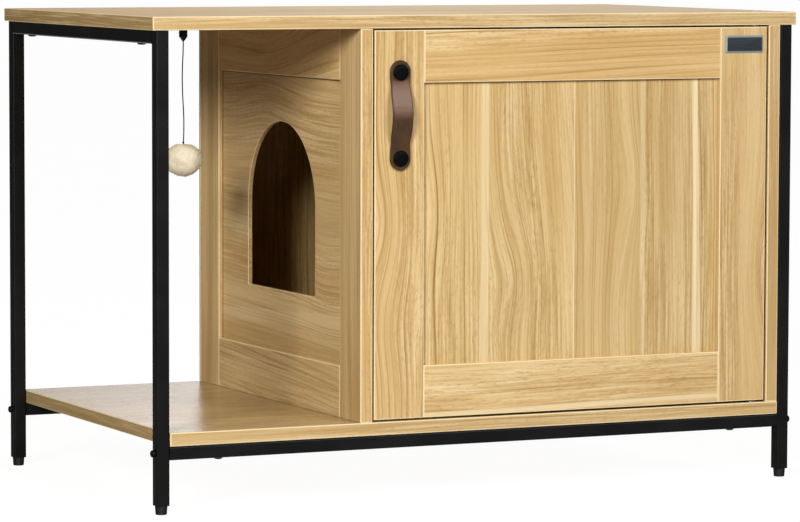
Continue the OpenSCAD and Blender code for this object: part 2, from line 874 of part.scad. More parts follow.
module catch_pole_plates()
    color(zinc)
        for (z = [-magnet_h / 2 - pole_t, magnet_h / 2])
            translate([catch_x - magnet_w / 2, catch_y, strike_z + z])
                cube([magnet_w, catch_d - magnet_back, pole_t]);

module catch_screws()
    color(zinc)
        for (side = [-1, 1])
            translate([catch_x + side * (catch_w / 2 - catch_ear / 2), catch_y + catch_d / 2, catch_z])
                screw(catch_screw_d, catch_h + screw_bite, catch_head_d, catch_head_h);

module strike_plate()
    color(zinc)
        difference() {
            translate([catch_x - strike_w / 2, door_back, strike_z - strike_h / 2])
                cube([strike_w, strike_t, strike_h]);
            translate([catch_x, door_back + strike_t + cut, strike_z])
                rotate([90, 0, 0]) hole(catch_screw_d, strike_t + 2 * cut);
        }

// Flat-headed screw, its head flush in the strike plate
module strike_screw()
    color(zinc)
        translate([catch_x, door_back + strike_t, strike_z])
            rotate([90, 0, 0])
                rotate_extrude()
                    polygon([[0, 0], [catch_screw_d / 2, 0],
                        [catch_screw_d / 2, strike_screw_len - screw_tip + strike_t],
                        [0, strike_screw_len + strike_t]]);

// Cap under the top board, with a seat for the knot in its lower end
module toy_cap()
    color(steel_black)
        translate([toy_x, toy_y, toy_tip])
            difference() {
                rotate_extrude()
                    polygon([[0, 0], [toy_tip_r, 0], [toy_cap_d / 2, toy_cone_h],
                        [toy_cap_d / 2, toy_cap_h], [0, toy_cap_h]]);
                translate([0, 0, -knot_out]) sphere(d = knot_d + 2 * knot_play);
                translate([0, 0, toy_cap_h - stud_down]) hole(stud_d, stud_down + cut);
            }

module toy_cap_stud()
    color(zinc)
        translate([toy_x, toy_y, top_under - stud_down])
            cylinder(d = stud_d, h = stud_down + stud_up);

module toy_knot()
    color(steel_black)
        translate([toy_x, toy_y, pivot_z]) sphere(d = knot_d);

// Point on the smooth curve through the route, t of the way from point i to the next one
function route_at(i) = cord_route[min(max(i, 0), len(cord_route) - 1)];
function smooth(a, b, c, d, t) =
    0.5 * (2 * b + (c - a) * t + (2 * a - 5 * b + 4 * c - d) * t * t
        + (3 * b - a - 3 * c + d) * t * t * t);
function cord_point(i, t) = smooth(route_at(i - 1), route_at(i), route_at(i + 1), route_at(i + 2), t);
cord_centres = concat(
    [for (i = [0:len(cord_route) - 2], s = [0:cord_splits - 1]) cord_point(i, s / cord_splits)],
    [cord_route[len(cord_route) - 1]]);

// Level rings of points around the route, joined into one tube
module toy_cord() {
    rings = len(cord_centres);
    points = [for (c = cord_centres, s = [0:cord_sides - 1])
        [c[0] + cord_d / 2 * cos(360 * s / cord_sides), c[1] + cord_d / 2 * sin(360 * s / cord_sides),
            -c[2]]];
    sides = [for (r = [0:rings - 2], s = [0:cord_sides - 1])
        let (a = r * cord_sides + s, b = r * cord_sides + (s + 1) % cord_sides)
            each [[a, b, b + cord_sides], [a, b + cord_sides, a + cord_sides]]];
    upper = [for (s = [cord_sides - 1:-1:0]) s];
    lower = [for (s = [0:cord_sides - 1]) (rings - 1) * cord_sides + s];
    color(cord_black)
        translate([toy_x, toy_y, pivot_z])
            polyhedron(points, concat([upper], sides, [lower]));
}

// Felt ball, a little wider than it is high
module toy_ball()
    color(felt)
        translate([toy_x, toy_y, ball_z])
            rotate_extrude()
                polygon([for (i = [0:ball_steps])
                    let (a = 180 * i / ball_steps - 90) [ball_w / 2 * cos(a), ball_h / 2 * sin(a)]]);

top_board();
shelf_board();
front_left_leg();
rear_left_leg();
front_right_leg();
rear_right_leg();
left_top_rail();
right_top_rail();
front_stretcher();
rear_stretcher();
feet();
stretcher_inserts();
stretcher_bolts();
top_board_screws();
shelf_screws();
side_wall_front_stile();
side_wall_rear_stile();
side_wall_top_rail();
side_wall_bottom_rail();
arched_panel();
right_wall();
back_panel();
back_panel_screws();
wall_dowels();
wall_base_screws();
cam_bolts();
cam_locks();
door_free_stile();
door_hinge_stile();
door_top_rail();
door_bottom_rail();
door_panel();
handle_strap();
handle_caps();
handle_screws();
blank_plate();
hinge_pins();
hinge_bushes();
catch_body();
catch_magnet();
catch_pole_plates();
catch_screws();
strike_plate();
strike_screw();
toy_cap();
toy_cap_stud();
toy_knot();
toy_cord();
toy_ball();
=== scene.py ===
"""Looks of a cat house: an oak-look table on a black steel frame, with a cabinet under its right side.

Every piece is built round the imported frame, in metres, at the place that the frame gives.
"""
import logging
import math
from dataclasses import dataclass, field
from enum import Enum
from typing import Any, Callable, ClassVar, Sequence, Union

import bmesh
import bpy
import numpy as np
from mathutils import Matrix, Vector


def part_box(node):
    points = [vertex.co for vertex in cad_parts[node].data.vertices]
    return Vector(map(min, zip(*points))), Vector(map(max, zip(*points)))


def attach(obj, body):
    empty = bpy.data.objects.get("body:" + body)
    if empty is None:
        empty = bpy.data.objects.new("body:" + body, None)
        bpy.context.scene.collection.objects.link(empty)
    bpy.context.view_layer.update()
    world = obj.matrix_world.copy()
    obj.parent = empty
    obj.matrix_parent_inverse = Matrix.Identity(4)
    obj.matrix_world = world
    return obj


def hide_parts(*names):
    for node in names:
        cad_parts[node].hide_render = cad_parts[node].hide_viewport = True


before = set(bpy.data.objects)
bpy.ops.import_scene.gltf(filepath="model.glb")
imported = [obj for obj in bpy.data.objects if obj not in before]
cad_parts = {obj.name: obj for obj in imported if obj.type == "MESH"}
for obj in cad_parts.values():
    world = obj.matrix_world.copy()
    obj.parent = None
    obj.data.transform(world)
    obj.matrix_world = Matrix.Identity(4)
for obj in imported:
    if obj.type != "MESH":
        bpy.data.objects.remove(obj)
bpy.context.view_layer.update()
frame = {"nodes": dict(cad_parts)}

LOG = logging.getLogger("cat_house")
MM = 0.001
SEED = 11
FADE = 0.5 * MM
MERGE = 0.001 * MM
ARC_STEPS = 4
SHARP = 35.0
TINY = 1e-9
FACING = 0.8
BAND_PITH = 0.2
BAND_SEEDS = (31.0, 32.0, 33.0)
DULL_TONE = 0.6
SATIN = (0.26, 0.35)
DULL = (0.8, 0.1)
LAYER_SHARE = 0.55
SEED_STEPS = (1.0, 1.7, 0.6)
PHOTO_WIDTH = 800

Colour = tuple[float, float, float, float]
Triple = tuple[float, float, float]
Value = Union[float, int, Sequence[float], "Wire"]
Socket = Union[int, str]


class Axis(Enum):
    """A direction of the frame, by the place of its number in a point."""

    X = 0
    Y = 1
    Z = 2


class Body(Enum):
    """The parts that move as one."""

    CARCASS = "carcass"
    DOOR = "door"
    TOY = "toy"


class Lip(Enum):
    """The edge of a frame member that is grooved for a thin panel."""

    LOW = -1
    HIGH = 1


def third(one: Axis, other: Axis) -> Axis:
    """The axis that is square to two others."""
    return Axis(3 - one.value - other.value)


def tint(*shown: float) -> Colour:
    """The linear colour of a red, green and blue from 0 to 255 as a screen shows them."""
    share = np.array(shown) / 255
    return (*np.where(share <= 0.04045, share / 12.92, ((share + 0.055) / 1.055) ** 2.4).tolist(), 1.0)


WHITE = tint(255, 255, 255)


def unit(vectors: np.ndarray) -> np.ndarray:
    """Each vector divided by its length."""
    return vectors / np.linalg.norm(vectors, axis=-1, keepdims=True)


def turns(count: int) -> np.ndarray:
    """Angles evenly spaced round a full turn."""
    return np.arange(count) * 2 * np.pi / count


def circle(turn: np.ndarray, first: np.ndarray, second: np.ndarray) -> np.ndarray:
    """Unit circles: the cosine of a turn times one direction plus its sine times another."""
    cosine, sine = np.cos(turn)[None, :, None], np.sin(turn)[None, :, None]
    return cosine * first[:, None, :] + sine * second[:, None, :]


def operator(operation: str, flip: bool = False) -> Callable[["Wire", Value], "Wire"]:
    """Makes the method behind one of Python's operators.

    Args:
        operation: the Math node's operation.
        flip: whether the wire is the right-hand value.

    Returns:
        The method.
    """
    def method(self: "Wire", other: Value) -> "Wire":
        """Adds the operator's Math node."""
        return self.math(operation, *((other, self) if flip else (self, other)))
    return method


class Wire:
    """An output of a node. Python's operators on it add Math nodes to its shader."""

    __add__, __radd__ = operator("ADD"), operator("ADD", True)
    __sub__, __rsub__ = operator("SUBTRACT"), operator("SUBTRACT", True)
    __mul__, __rmul__ = operator("MULTIPLY"), operator("MULTIPLY", True)
    __truediv__, __rtruediv__ = operator("DIVIDE"), operator("DIVIDE", True)
    __pow__, __rpow__ = operator("POWER"), operator("POWER", True)

    def __init__(self, shader: "Shader", socket: bpy.types.NodeSocket | None) -> None:
        """Keeps the shader and the socket."""
        self.shader, self.socket = shader, socket

    def math(self, operation: str, *values: Value) -> "Wire":
        """Adds a Math node of the values, or of this wire alone."""
        return self.shader.add("ShaderNodeMath", {"operation": operation},
                               dict(enumerate(values or (self,))))

    def step(self, low: float, high: float) -> "Wire":
        """A smooth rise from 0 at low to 1 at high."""
        return self.shader.add("ShaderNodeMapRange", {"interpolation_type": "SMOOTHSTEP"},
                               {"Value": self, "From Min": low, "From Max": high})

    def output(self, key: Socket) -> "Wire":
        """Another output of the same node."""
        return Wire(self.shader, self.socket.node.outputs[key])


class Shader:
    """A node tree, with the few calls that the finishes are written in."""

    def __init__(self, name: str, tree: bpy.types.NodeTree | None = None) -> None:
        """Starts an empty material of that name, or empties the tree given.

        Args:
            name: the material's name.
            tree: a tree to use in place of a material's.
        """
        self.material = None
        if tree is None:
            self.material = bpy.data.materials.new(name)
            self.material.use_nodes = True
            tree = self.material.node_tree
        self.tree = tree
        self.tree.nodes.clear()

    def add(self, kind: str, settings: dict[str, Any] | None = None,
            inputs: dict[Socket, Value] | None = None, output: Socket = 0) -> Wire:
        """Adds a node of any type.

        Args:
            kind: the node's type.
            settings: its properties, set first.
            inputs: the values or wires of its sockets.
            output: the socket that is returned.

        Returns:
            The chosen output.
        """
        node = self.tree.nodes.new(kind)
        for key, value in (settings or {}).items():
            setattr(node, key, value)
        for key, value in (inputs or {}).items():
            if isinstance(value, Wire):
                self.tree.links.new(value.socket, node.inputs[key])
            else:
                node.inputs[key].default_value = value
        return Wire(self, node.outputs[output] if node.outputs else None)

    def place(self) -> Wire:
        """The point of the frame that a spot of the surface is at."""
        return self.add("ShaderNodeTexCoord", output="Object")

    def wear_and_highlight(self) -> Wire:
        """How much a spot lies on a softened edge: 1 there. The laminates paint it pale, partly as wear
        and partly as a painted highlight.
        """
        return self.add("ShaderNodeAttribute", {"attribute_name": "arris"}, output="Fac")

    def split(self, point: Wire, *axes: Axis) -> list[Wire]:
        """A point's numbers along the axes given."""
        parts = self.add("ShaderNodeSeparateXYZ", None, {0: point})
        return [parts.output(axis.value) for axis in axes]

    def scaled(self, cells: float | Triple, seed: float = 0.0, place: Wire | None = None) -> Wire:
        """The point that a pattern is read at.

        Args:
            cells: cells to the metre, one number or one for each axis.
            seed: moves the pattern.
            place: the point of the frame, if it isn't the surface's own.

        Returns:
            The scaled and moved point.
        """
        scale = (cells,) * 3 if isinstance(cells, float) else cells
        return self.add("ShaderNodeMapping", None, {"Vector": place or self.place(), "Scale": scale,
                                                    "Location": [step * seed for step in SEED_STEPS]})

    def noise(self, cells: float | Triple, detail: float = 2.0, seed: float = 0.0,
              place: Wire | None = None) -> Wire:
        """Soft random cells about 0.5, with as many finer layers as the detail says."""
        return self.add("ShaderNodeTexNoise", None,
                        {"Vector": self.scaled(cells, seed, place), "Scale": 1.0, "Detail": detail,
                         "Roughness": LAYER_SHARE})

    def mix(self, share: Value, first: Value, second: Value) -> Wire:
        """Blends two colours by the share of the second."""
        return self.add("ShaderNodeMix", {"data_type": "RGBA"}, {0: share, 6: first, 7: second}, 2)

    def relief(self, height: Wire, depth: float, strength: float = 1.0) -> Wire:
        """A normal that follows a height, of which 1 stands for the depth in metres."""
        return self.add("ShaderNodeBump", None,
                        {"Strength": strength, "Distance": depth, "Height": height})

    def finish(self, **sockets: Value) -> bpy.types.Material:
        """Joins one Principled shader to the output.

        Args:
            sockets: its inputs, with an underscore for each space in a name.

        Returns:
            The material.
        """
        inputs = {key.replace("_", " "): value for key, value in sockets.items()}
        shaded = self.add("ShaderNodeBsdfPrincipled", None, inputs)
        self.add("ShaderNodeOutputMaterial", None, {"Surface": shaded})
        return self.material


@dataclass(frozen=True)
class Plank:
    """A strip of a laminate that looks like a board of its own, from a place across the grain onwards.

    It changes the figure's place, tone, lean and how fine its fibres show.
    """

    place: float
    shift: float
    tone: float
    lean: float = 0.0
    fine: float = 0.0


@dataclass(frozen=True)
class Streak:
    """A stripe along the grain: its middle, width, strength, lean and how soft its two sides are.

    A dark one is the shadow line of a seam, and a crosswise one runs across the grain.
    """

    place: float
    width: float
    strength: float
    lean: float = 0.0
    soft_low: float = 2 * MM
    soft_high: float = 2 * MM
    dark: bool = False
    crosswise: bool = False


@dataclass(frozen=True)
class Swell:
    """A place where the grain swings aside, as round a knot: its middle, how far and its reach."""

    across: float
    along: float
    push: float
    reach_across: float
    reach_along: float


@dataclass(frozen=True)
class Layer:
    """A noise drawn out along the grain: cells to the metre along and across it, detail, number."""

    along: float
    across: float
    detail: float
    number: int


@dataclass(frozen=True)
class Oak:
    """Oak-look laminate: rings cut by the board, long fibres, short pores and pale edges, partly wear and
    partly a painted highlight.
    """

    name: str
    grain: Axis
    across: Axis
    pith: tuple[float, float]
    taper: float = 3.0
    tilt: float = 0.0
    spacing: float = 5.5 * MM
    sway: float = 0.012
    contrast: float = 1.0
    tone: float = 1.0
    seed: float = 0.0
    seed_step: float = 2.3
    light: Colour = tint(232, 200, 145)
    warm: Colour = tint(213, 176, 118)
    late: Colour = tint(162, 121, 62)
    pore: Colour = tint(142, 102, 52)
    edge: Colour = tint(250, 228, 184)
    shadow: Colour = tint(76, 50, 12)
    rough: float = 0.26
    shine: float = 0.35
    planks: tuple[Plank, ...] = ()
    streaks: tuple[Streak, ...] = ()
    swells: tuple[Swell, ...] = ()
    joint: float = 0.4 * MM
    curl: float = 3 * MM
    growth_cells: float = 40.0
    growth: float = 2.6
    edge_share: float = 0.9
    edge_rough: float = 0.5
    dark_share: float = 0.38
    pale_share: float = 0.34
    pore_share: float = 0.3
    depth: float = 0.04 * MM

    SWAY = Layer(3.0, 9.0, 0.0, 2)
    CURL = Layer(9.0, 60.0, 1.0, 3)
    FADING = Layer(3.5, 30.0, 1.0, 4)
    BROAD = Layer(1.2, 34.0, 2.0, 5)
    FIBRE = Layer(10.0, 420.0, 3.0, 6)
    COARSE = Layer(1.6, 24.0, 1.0, 7)
    PORES = Layer(130.0, 900.0, 1.0, 8)
    FADED = (0.32, 0.62)
    SLOW_RISE = (0.0, 0.84)
    FAST_RISE = (0.62, 0.82)
    RING_END = (0.88, 0.98)

    def noise(self, place: Wire, layer: Layer) -> Wire:
        """One layer of noise, about 0.5."""
        cells = tuple(layer.along if axis == self.grain else layer.across for axis in Axis)
        return place.shader.noise(cells, layer.detail, self.seed + self.seed_step * layer.number, place)

    def bent(self, place: Wire, shift: Value) -> Wire:
        """The point whose figure a spot shows, so that all layers share the grain's bends.

        The point moves across the grain by slow noise along it, by the tilt and by the planks' shift.
        A swell adds its push times e to the power of minus the squared distance, in reaches.

        Args:
            place: the point of the frame.
            shift: the planks' shift.

        Returns:
            The moved point.
        """
        shader = place.shader
        across, along = shader.split(place, self.across, self.grain)
        bend = (self.noise(place, self.SWAY) - 0.5) * self.sway + shift + along * self.tilt
        for swell in self.swells:
            u = (across - swell.across) / swell.reach_across
            v = (along - swell.along) / swell.reach_along
            bend = bend - (0.0 - u * u - v * v).math("EXPONENT") * swell.push
        offset = shader.add("ShaderNodeCombineXYZ", None, {self.across.value: bend})
        return shader.add("ShaderNodeVectorMath", {"operation": "ADD"}, {0: place, 1: offset})

    def rings(self, bent: Wire) -> Wire:
        """Count of growth rings between the pith and a spot.

        The distance to a line along the grain is divided by the rings' spacing. The stem's taper adds
        rings along the grain, so a board near the pith shows arches. A noise of the distance alone
        makes some rings wide and others narrow.

        Args:
            bent: the point whose figure the spot shows.

        Returns:
            The count, with its fraction.
        """
        shader = bent.shader
        side, deep, along = shader.split(bent, self.across, third(self.grain, self.across), self.grain)
        side = side - self.pith[0] + (self.noise(bent, self.CURL) - 0.5) * self.curl
        deep = deep - self.pith[1]
        radius = (side * side + deep * deep) ** 0.5
        growth = shader.add("ShaderNodeTexNoise", {"noise_dimensions": "1D"},
                            {"W": radius * self.growth_cells + self.seed, "Scale": 1.0, "Detail": 1.0})
        return radius / self.spacing + along * self.taper + growth * self.growth

    def late_wood(self, bent: Wire) -> Wire:
        """How dark the late wood of a spot's ring is.

        It deepens slowly over most of the ring and fast near its end, and drops before the next ring.
        Each ring has a strength of its own, by the square of its chance, which fades along the board.

        Args:
            bent: the point whose figure the spot shows.

        Returns:
            The share of late wood.
        """
        turn = self.rings(bent)
        number = turn.math("FLOOR")
        part = turn - number
        chance = bent.shader.add("ShaderNodeTexWhiteNoise", {"noise_dimensions": "1D"},
                                 {"W": number + self.seed})
        fading = self.noise(bent, self.FADING).step(*self.FADED)
        strength = (0.14 + 0.95 * chance * chance) * (0.35 + 0.65 * fading) * self.contrast
        ending = 1 - part.step(*self.RING_END)
        return (part.step(*self.FAST_RISE) * 0.62 + part.step(*self.SLOW_RISE) * 0.28) * ending * strength

    def material(self) -> bpy.types.Material:
        """Builds the laminate.

        Returns:
            The material.
        """
        shader = Shader(self.name)
        place = shader.place()
        across, along = shader.split(place, self.across, self.grain)
        shift, tone, fine = 0.0, self.tone, 1.0
        for plank in self.planks:
            past = (across - plank.place).step(-self.joint, self.joint)
            shift = past * (along * plank.lean + plank.shift) + shift
            tone = past * plank.tone + tone
            fine = past * plank.fine + fine
        bent = self.bent(place, shift)
        late = self.late_wood(bent)
        broad = self.noise(bent, self.BROAD)
        fibre = self.noise(bent, self.FIBRE)
        fine = (0.45 + self.noise(bent, self.COARSE).step(0.42, 0.6) * 0.75) * fine
        pores = self.noise(bent, self.PORES).step(0.5, 0.75) * fine
        edge = shader.wear_and_highlight()
        colour = shader.mix(broad.step(0.34, 0.66), self.light, self.warm)
        colour = shader.add("ShaderNodeVectorMath", {"operation": "SCALE"}, {0: colour, "Scale": tone})
        colour = shader.mix(fibre.step(0.46, 0.7) * fine * self.dark_share, colour, self.late)
        colour = shader.mix((1 - fibre.step(0.32, 0.52)) * fine * self.pale_share, colour, self.edge)
        colour = shader.mix(late, colour, self.late)
        colour = shader.mix(pores * self.pore_share, colour, self.pore)
        # Painted highlight: softened edges are painted pale, partly as the edge band's real pale wear and
        # partly as the light that the arris catches.
        colour = shader.mix(edge * self.edge_share, colour, self.edge)
        for streak in self.streaks:
            side, run = (along, across) if streak.crosswise else (across, along)
            away, half = side - streak.place - run * streak.lean, streak.width / 2
            inside = away.step(-half - streak.soft_low, -half)
            inside = inside * (1 - away.step(half, half + streak.soft_high))
            colour = shader.mix(inside * streak.strength, colour,
                                self.shadow if streak.dark else self.edge)
        height = fibre * 0.3 - pores * 0.6 - late * 0.3
        return shader.finish(Base_Color=colour, Specular_IOR_Level=self.shine,
                             Roughness=self.rough + fibre * 0.12 + edge * self.edge_rough,
                             Normal=shader.relief(height, self.depth))


@dataclass(frozen=True)
class Speckled:
    """A finish of one colour with soft clouds of a second tone and a fine grain.

    The clouds have cells to the metre, detail and a seed. The second tone is the colour times the
    first number of other, plus the second. Uneven is how much the grain, or the clouds of a cloudy
    one, change the roughness.
    """

    name: str
    colour: Colour
    rough: float
    shine: float = 0.5
    metallic: float = 0.0
    grain: float | Triple = 1400.0
    clouds: Triple = (45.0, 2.0, 2.0)
    rise: tuple[float, float] = (0.35, 0.7)
    share: float = 0.4
    other: tuple[float, float] = (0.8, 0.0)
    uneven: float = 0.12
    cloudy: bool = False
    depth: float = 0.012 * MM

    def material(self) -> bpy.types.Material:
        """Builds the finish.

        Returns:
            The material.
        """
        shader = Shader(self.name)
        grain, cloud = shader.noise(self.grain), shader.noise(*self.clouds)
        second = tuple(self.other[0] * part + self.other[1] for part in self.colour[:3]) + (1.0,)
        colour = shader.mix(cloud.step(*self.rise) * self.share + grain * 0.2, self.colour, second)
        uneven = (cloud - 0.5 if self.cloudy else grain) * self.uneven
        return shader.finish(Base_Color=colour, Metallic=self.metallic, Roughness=self.rough + uneven,
                             Specular_IOR_Level=self.shine, Normal=shader.relief(grain, self.depth))


@dataclass(frozen=True)
class Moulded(Speckled):
    """Moulded plastic or pressed ceramic: a fine even texture."""


@dataclass(frozen=True)
class PowderCoat(Speckled):
    """Black paint baked onto steel: a fine orange-peel skin."""

    shine: float = 0.18
    grain: float | Triple = 900.0
    clouds: Triple = (18.0, 3.0, 4.0)
    rise: tuple[float, float] = (0.4, 0.75)
    share: float = 0.6
    other: tuple[float, float] = (1.7, 0.002)
    uneven: float = 0.16
    cloudy: bool = True
    depth: float = 0.03 * MM


@dataclass(frozen=True)
class Metal(Speckled):
    """Bare or plated metal, with fine marks along one axis."""

    metallic: float = 1.0
    grain: float | Triple = (700.0, 700.0, 90.0)
    clouds: Triple = (60.0, 2.0, 6.0)
    share: float = 0.5
    other: tuple[float, float] = (0.62, 0.0)
    uneven: float = 0.16
    depth: float = 0.01 * MM


@dataclass(frozen=True)
class Anodised:
    """Plate metal: a dark blue-grey brushed face inside a bright bevel."""

    name: str
    face: Colour
    bevel: Colour
    brush: Triple = (60.0, 60.0, 2600.0)
    depth: float = 0.01 * MM

    def material(self) -> bpy.types.Material:
        """Builds the plate's finish.

        Returns:
            The material.
        """
        shader = Shader(self.name)
        brushed, edge = shader.noise(self.brush), shader.wear_and_highlight()
        face = shader.mix(brushed.step(0.3, 0.7) * 0.1, self.face, self.bevel)
        return shader.finish(Base_Color=shader.mix(edge, face, self.bevel),
                             Metallic=0.55 - edge * 0.2, Roughness=0.34 - edge * 0.06 + brushed * 0.08,
                             Normal=shader.relief(brushed, self.depth))


@dataclass(frozen=True)
class Leather:
    """Oiled brown leather: pebbled grain, cloudy tone, burnished edges, and a painted sheen, paler between
    two heights.
    """

    name: str
    sheen_from: float
    sheen_to: float
    colour: Colour = tint(80, 50, 17)
    dark: Colour = tint(58, 36, 12)
    painted_sheen: Colour = tint(134, 98, 74)
    pebble_cells: float = 900.0
    depth: float = 0.07 * MM

    def material(self) -> bpy.types.Material:
        """Builds the leather.

        Returns:
            The material.
        """
        shader = Shader(self.name)
        pebbles = shader.add("ShaderNodeTexVoronoi", {"feature": "SMOOTH_F1"},
                             {"Vector": shader.scaled(self.pebble_cells), "Scale": 1.0,
                              "Smoothness": 0.6})
        cloud = shader.noise((70.0, 70.0, 45.0), 3.0)
        crease = shader.noise((30.0, 1.0, 420.0), 2.0, 4.0).step(0.55, 0.75)
        edge = shader.wear_and_highlight()
        # Painted sheen: the strap is paler between the two heights, where the upper half of its bow faces
        # the light; its edges stay out of it.
        height = shader.split(shader.place(), Axis.Z)[0] + cloud * 6 * MM
        wear_and_highlight = (height - self.sheen_from).step(-4 * MM, 10 * MM) * (1 - edge)
        wear_and_highlight = wear_and_highlight * (1 - (height - self.sheen_to).step(-2 * MM, 8 * MM))
        colour = shader.mix(cloud.step(0.35, 0.7), self.colour, self.dark)
        colour = shader.mix(wear_and_highlight * 0.7, colour, self.painted_sheen)
        colour = shader.mix(pebbles.step(0.35, 0.8) * 0.25 + crease * 0.25, colour, self.dark)
        colour = shader.mix(edge * 0.8, colour, self.dark)
        return shader.finish(Base_Color=colour, Roughness=0.4 + cloud * 0.12, Specular_IOR_Level=0.5,
                             Normal=shader.relief(1 - pebbles - crease * 0.5, self.depth, 0.6))


@dataclass(frozen=True)
class Felt:
    """Pressed wool: a soft mottled off-white with matted fibres."""

    name: str
    colour: Colour = tint(240, 231, 208)
    shade: Colour = tint(218, 202, 170)
    depth: float = 0.5 * MM

    def material(self) -> bpy.types.Material:
        """Builds the felt.

        Returns:
            The material.
        """
        shader = Shader(self.name)
        wisps, patches = shader.noise((420.0, 420.0, 260.0), 4.0), shader.noise(75.0, 3.0, 3.0)
        colour = shader.mix(patches.step(0.38, 0.68) * 0.75, self.colour, self.shade)
        colour = shader.mix(wisps.step(0.5, 0.75) * 0.35, colour, self.shade)
        return shader.finish(Base_Color=colour, Roughness=0.92 + wisps * 0.08, Sheen_Weight=0.25,
                             Normal=shader.relief(wisps, self.depth))


@dataclass(frozen=True)
class Twine:
    """Waxed black cord."""

    name: str
    colour: Colour = tint(3, 3, 3)
    pale: Colour = tint(13, 12, 12)
    depth: float = 0.04 * MM

    def material(self) -> bpy.types.Material:
        """Builds the cord's finish.

        Returns:
            The material.
        """
        shader = Shader(self.name)
        hairs = shader.noise((2600.0, 2600.0, 700.0))
        colour = shader.mix(hairs.step(0.4, 0.75) * 0.6, self.colour, self.pale)
        return shader.finish(Base_Color=colour, Roughness=0.6 + hairs * 0.25, Specular_IOR_Level=0.1,
                             Normal=shader.relief(hairs, self.depth))


@dataclass
class Shell:
    """Points, their weights of edge wear and painted highlight, and the faces of one piece while it is
    being put together.
    """

    points: list[np.ndarray] = field(default_factory=list)
    weights: list[np.ndarray] = field(default_factory=list)
    faces: list[Sequence[int]] = field(default_factory=list)

    def add_grid(self, points: np.ndarray, weights: np.ndarray | float = 0.0, *, ring: bool = True,
                 loop: bool = False, caps: bool = False) -> "Shell":
        """Adds a grid of points with a quad between each pair of neighbours in both directions.

        Args:
            points: rows of points, as an array of rows, columns and 3.
            weights: each point's weight of edge wear and painted highlight, from 0 to 1, one value or an
                array of rows and columns.
            ring: whether the last column joins the first.
            loop: whether the last row joins the first.
            caps: whether the first and the last row are closed by a face.

        Returns:
            The shell.
        """
        rows, columns = points.shape[:2]
        start = sum(len(part) for part in self.points)
        row = np.arange(rows if loop else rows - 1)[:, None]
        column = np.arange(columns if ring else columns - 1)[None, :]
        after, beside = (row + 1) % rows, (column + 1) % columns
        corners = [row * columns + column, row * columns + beside,
                   after * columns + beside, after * columns + column]
        quads = start + np.stack(np.broadcast_arrays(*corners), axis=-1).reshape(-1, 4)
        self.points.append(points.reshape(-1, 3))
        self.weights.append(np.broadcast_to(weights, (rows, columns)).reshape(-1))
        self.faces.extend(quads.tolist())
        if caps:
            first = start + np.arange(columns)
            self.faces.extend([first[::-1].tolist(), (first + (rows - 1) * columns).tolist()])
        return self

    def build(self, name: str, material: bpy.types.Material, sharp: float = SHARP) -> bpy.types.Object:
        """Puts the shell into a mesh, joins points that meet and turns its faces outwards.

        Args:
            name: the piece's name.
            material: its material.
            sharp: the angle in degrees from which an edge is shaded sharp.

        Returns:
            The piece, at the origin.
        """
        mesh = bpy.data.meshes.new(name)
        mesh.from_pydata(np.concatenate(self.points).tolist(), [], self.faces)
        wear_and_highlight = mesh.attributes.new("arris", "FLOAT", "POINT")
        wear_and_highlight.data.foreach_set("value", np.concatenate(self.weights).astype(np.float32))
        work = bmesh.new()
        work.from_mesh(mesh)
        bmesh.ops.remove_doubles(work, verts=work.verts, dist=MERGE)
        bmesh.ops.dissolve_degenerate(work, edges=work.edges, dist=MERGE)
        bmesh.ops.recalc_face_normals(work, faces=work.faces)
        work.to_mesh(mesh)
        work.free()
        mesh.polygons.foreach_set("use_smooth", np.ones(len(mesh.polygons), bool))
        mesh.set_sharp_from_angle(angle=math.radians(sharp))
        mesh.materials.append(material)
        piece = bpy.data.objects.new(name, mesh)
        bpy.context.scene.collection.objects.link(piece)
        return piece

    def settle(self, name: str, material: bpy.types.Material, body: Body, slot: str, *nodes: str,
               sharp: float = SHARP) -> bpy.types.Object:
        """Builds a piece and ties it to the frame.

        Args:
            name: the piece's name.
            material: its material.
            body: the body that it moves with.
            slot: the record's material slot. It is not used.
            nodes: the CAD nodes that it stands for.
            sharp: the angle in degrees from which an edge is shaded sharp.

        Returns:
            The piece.
        """
        piece = self.build(name, material, sharp)
        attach(piece, body.value)
        if nodes:
            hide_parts(*nodes)
        LOG.info("%s: %d faces, rides on %s, for %s", name, len(piece.data.polygons), body.value,
                 ", ".join(nodes) or "no node")
        return piece


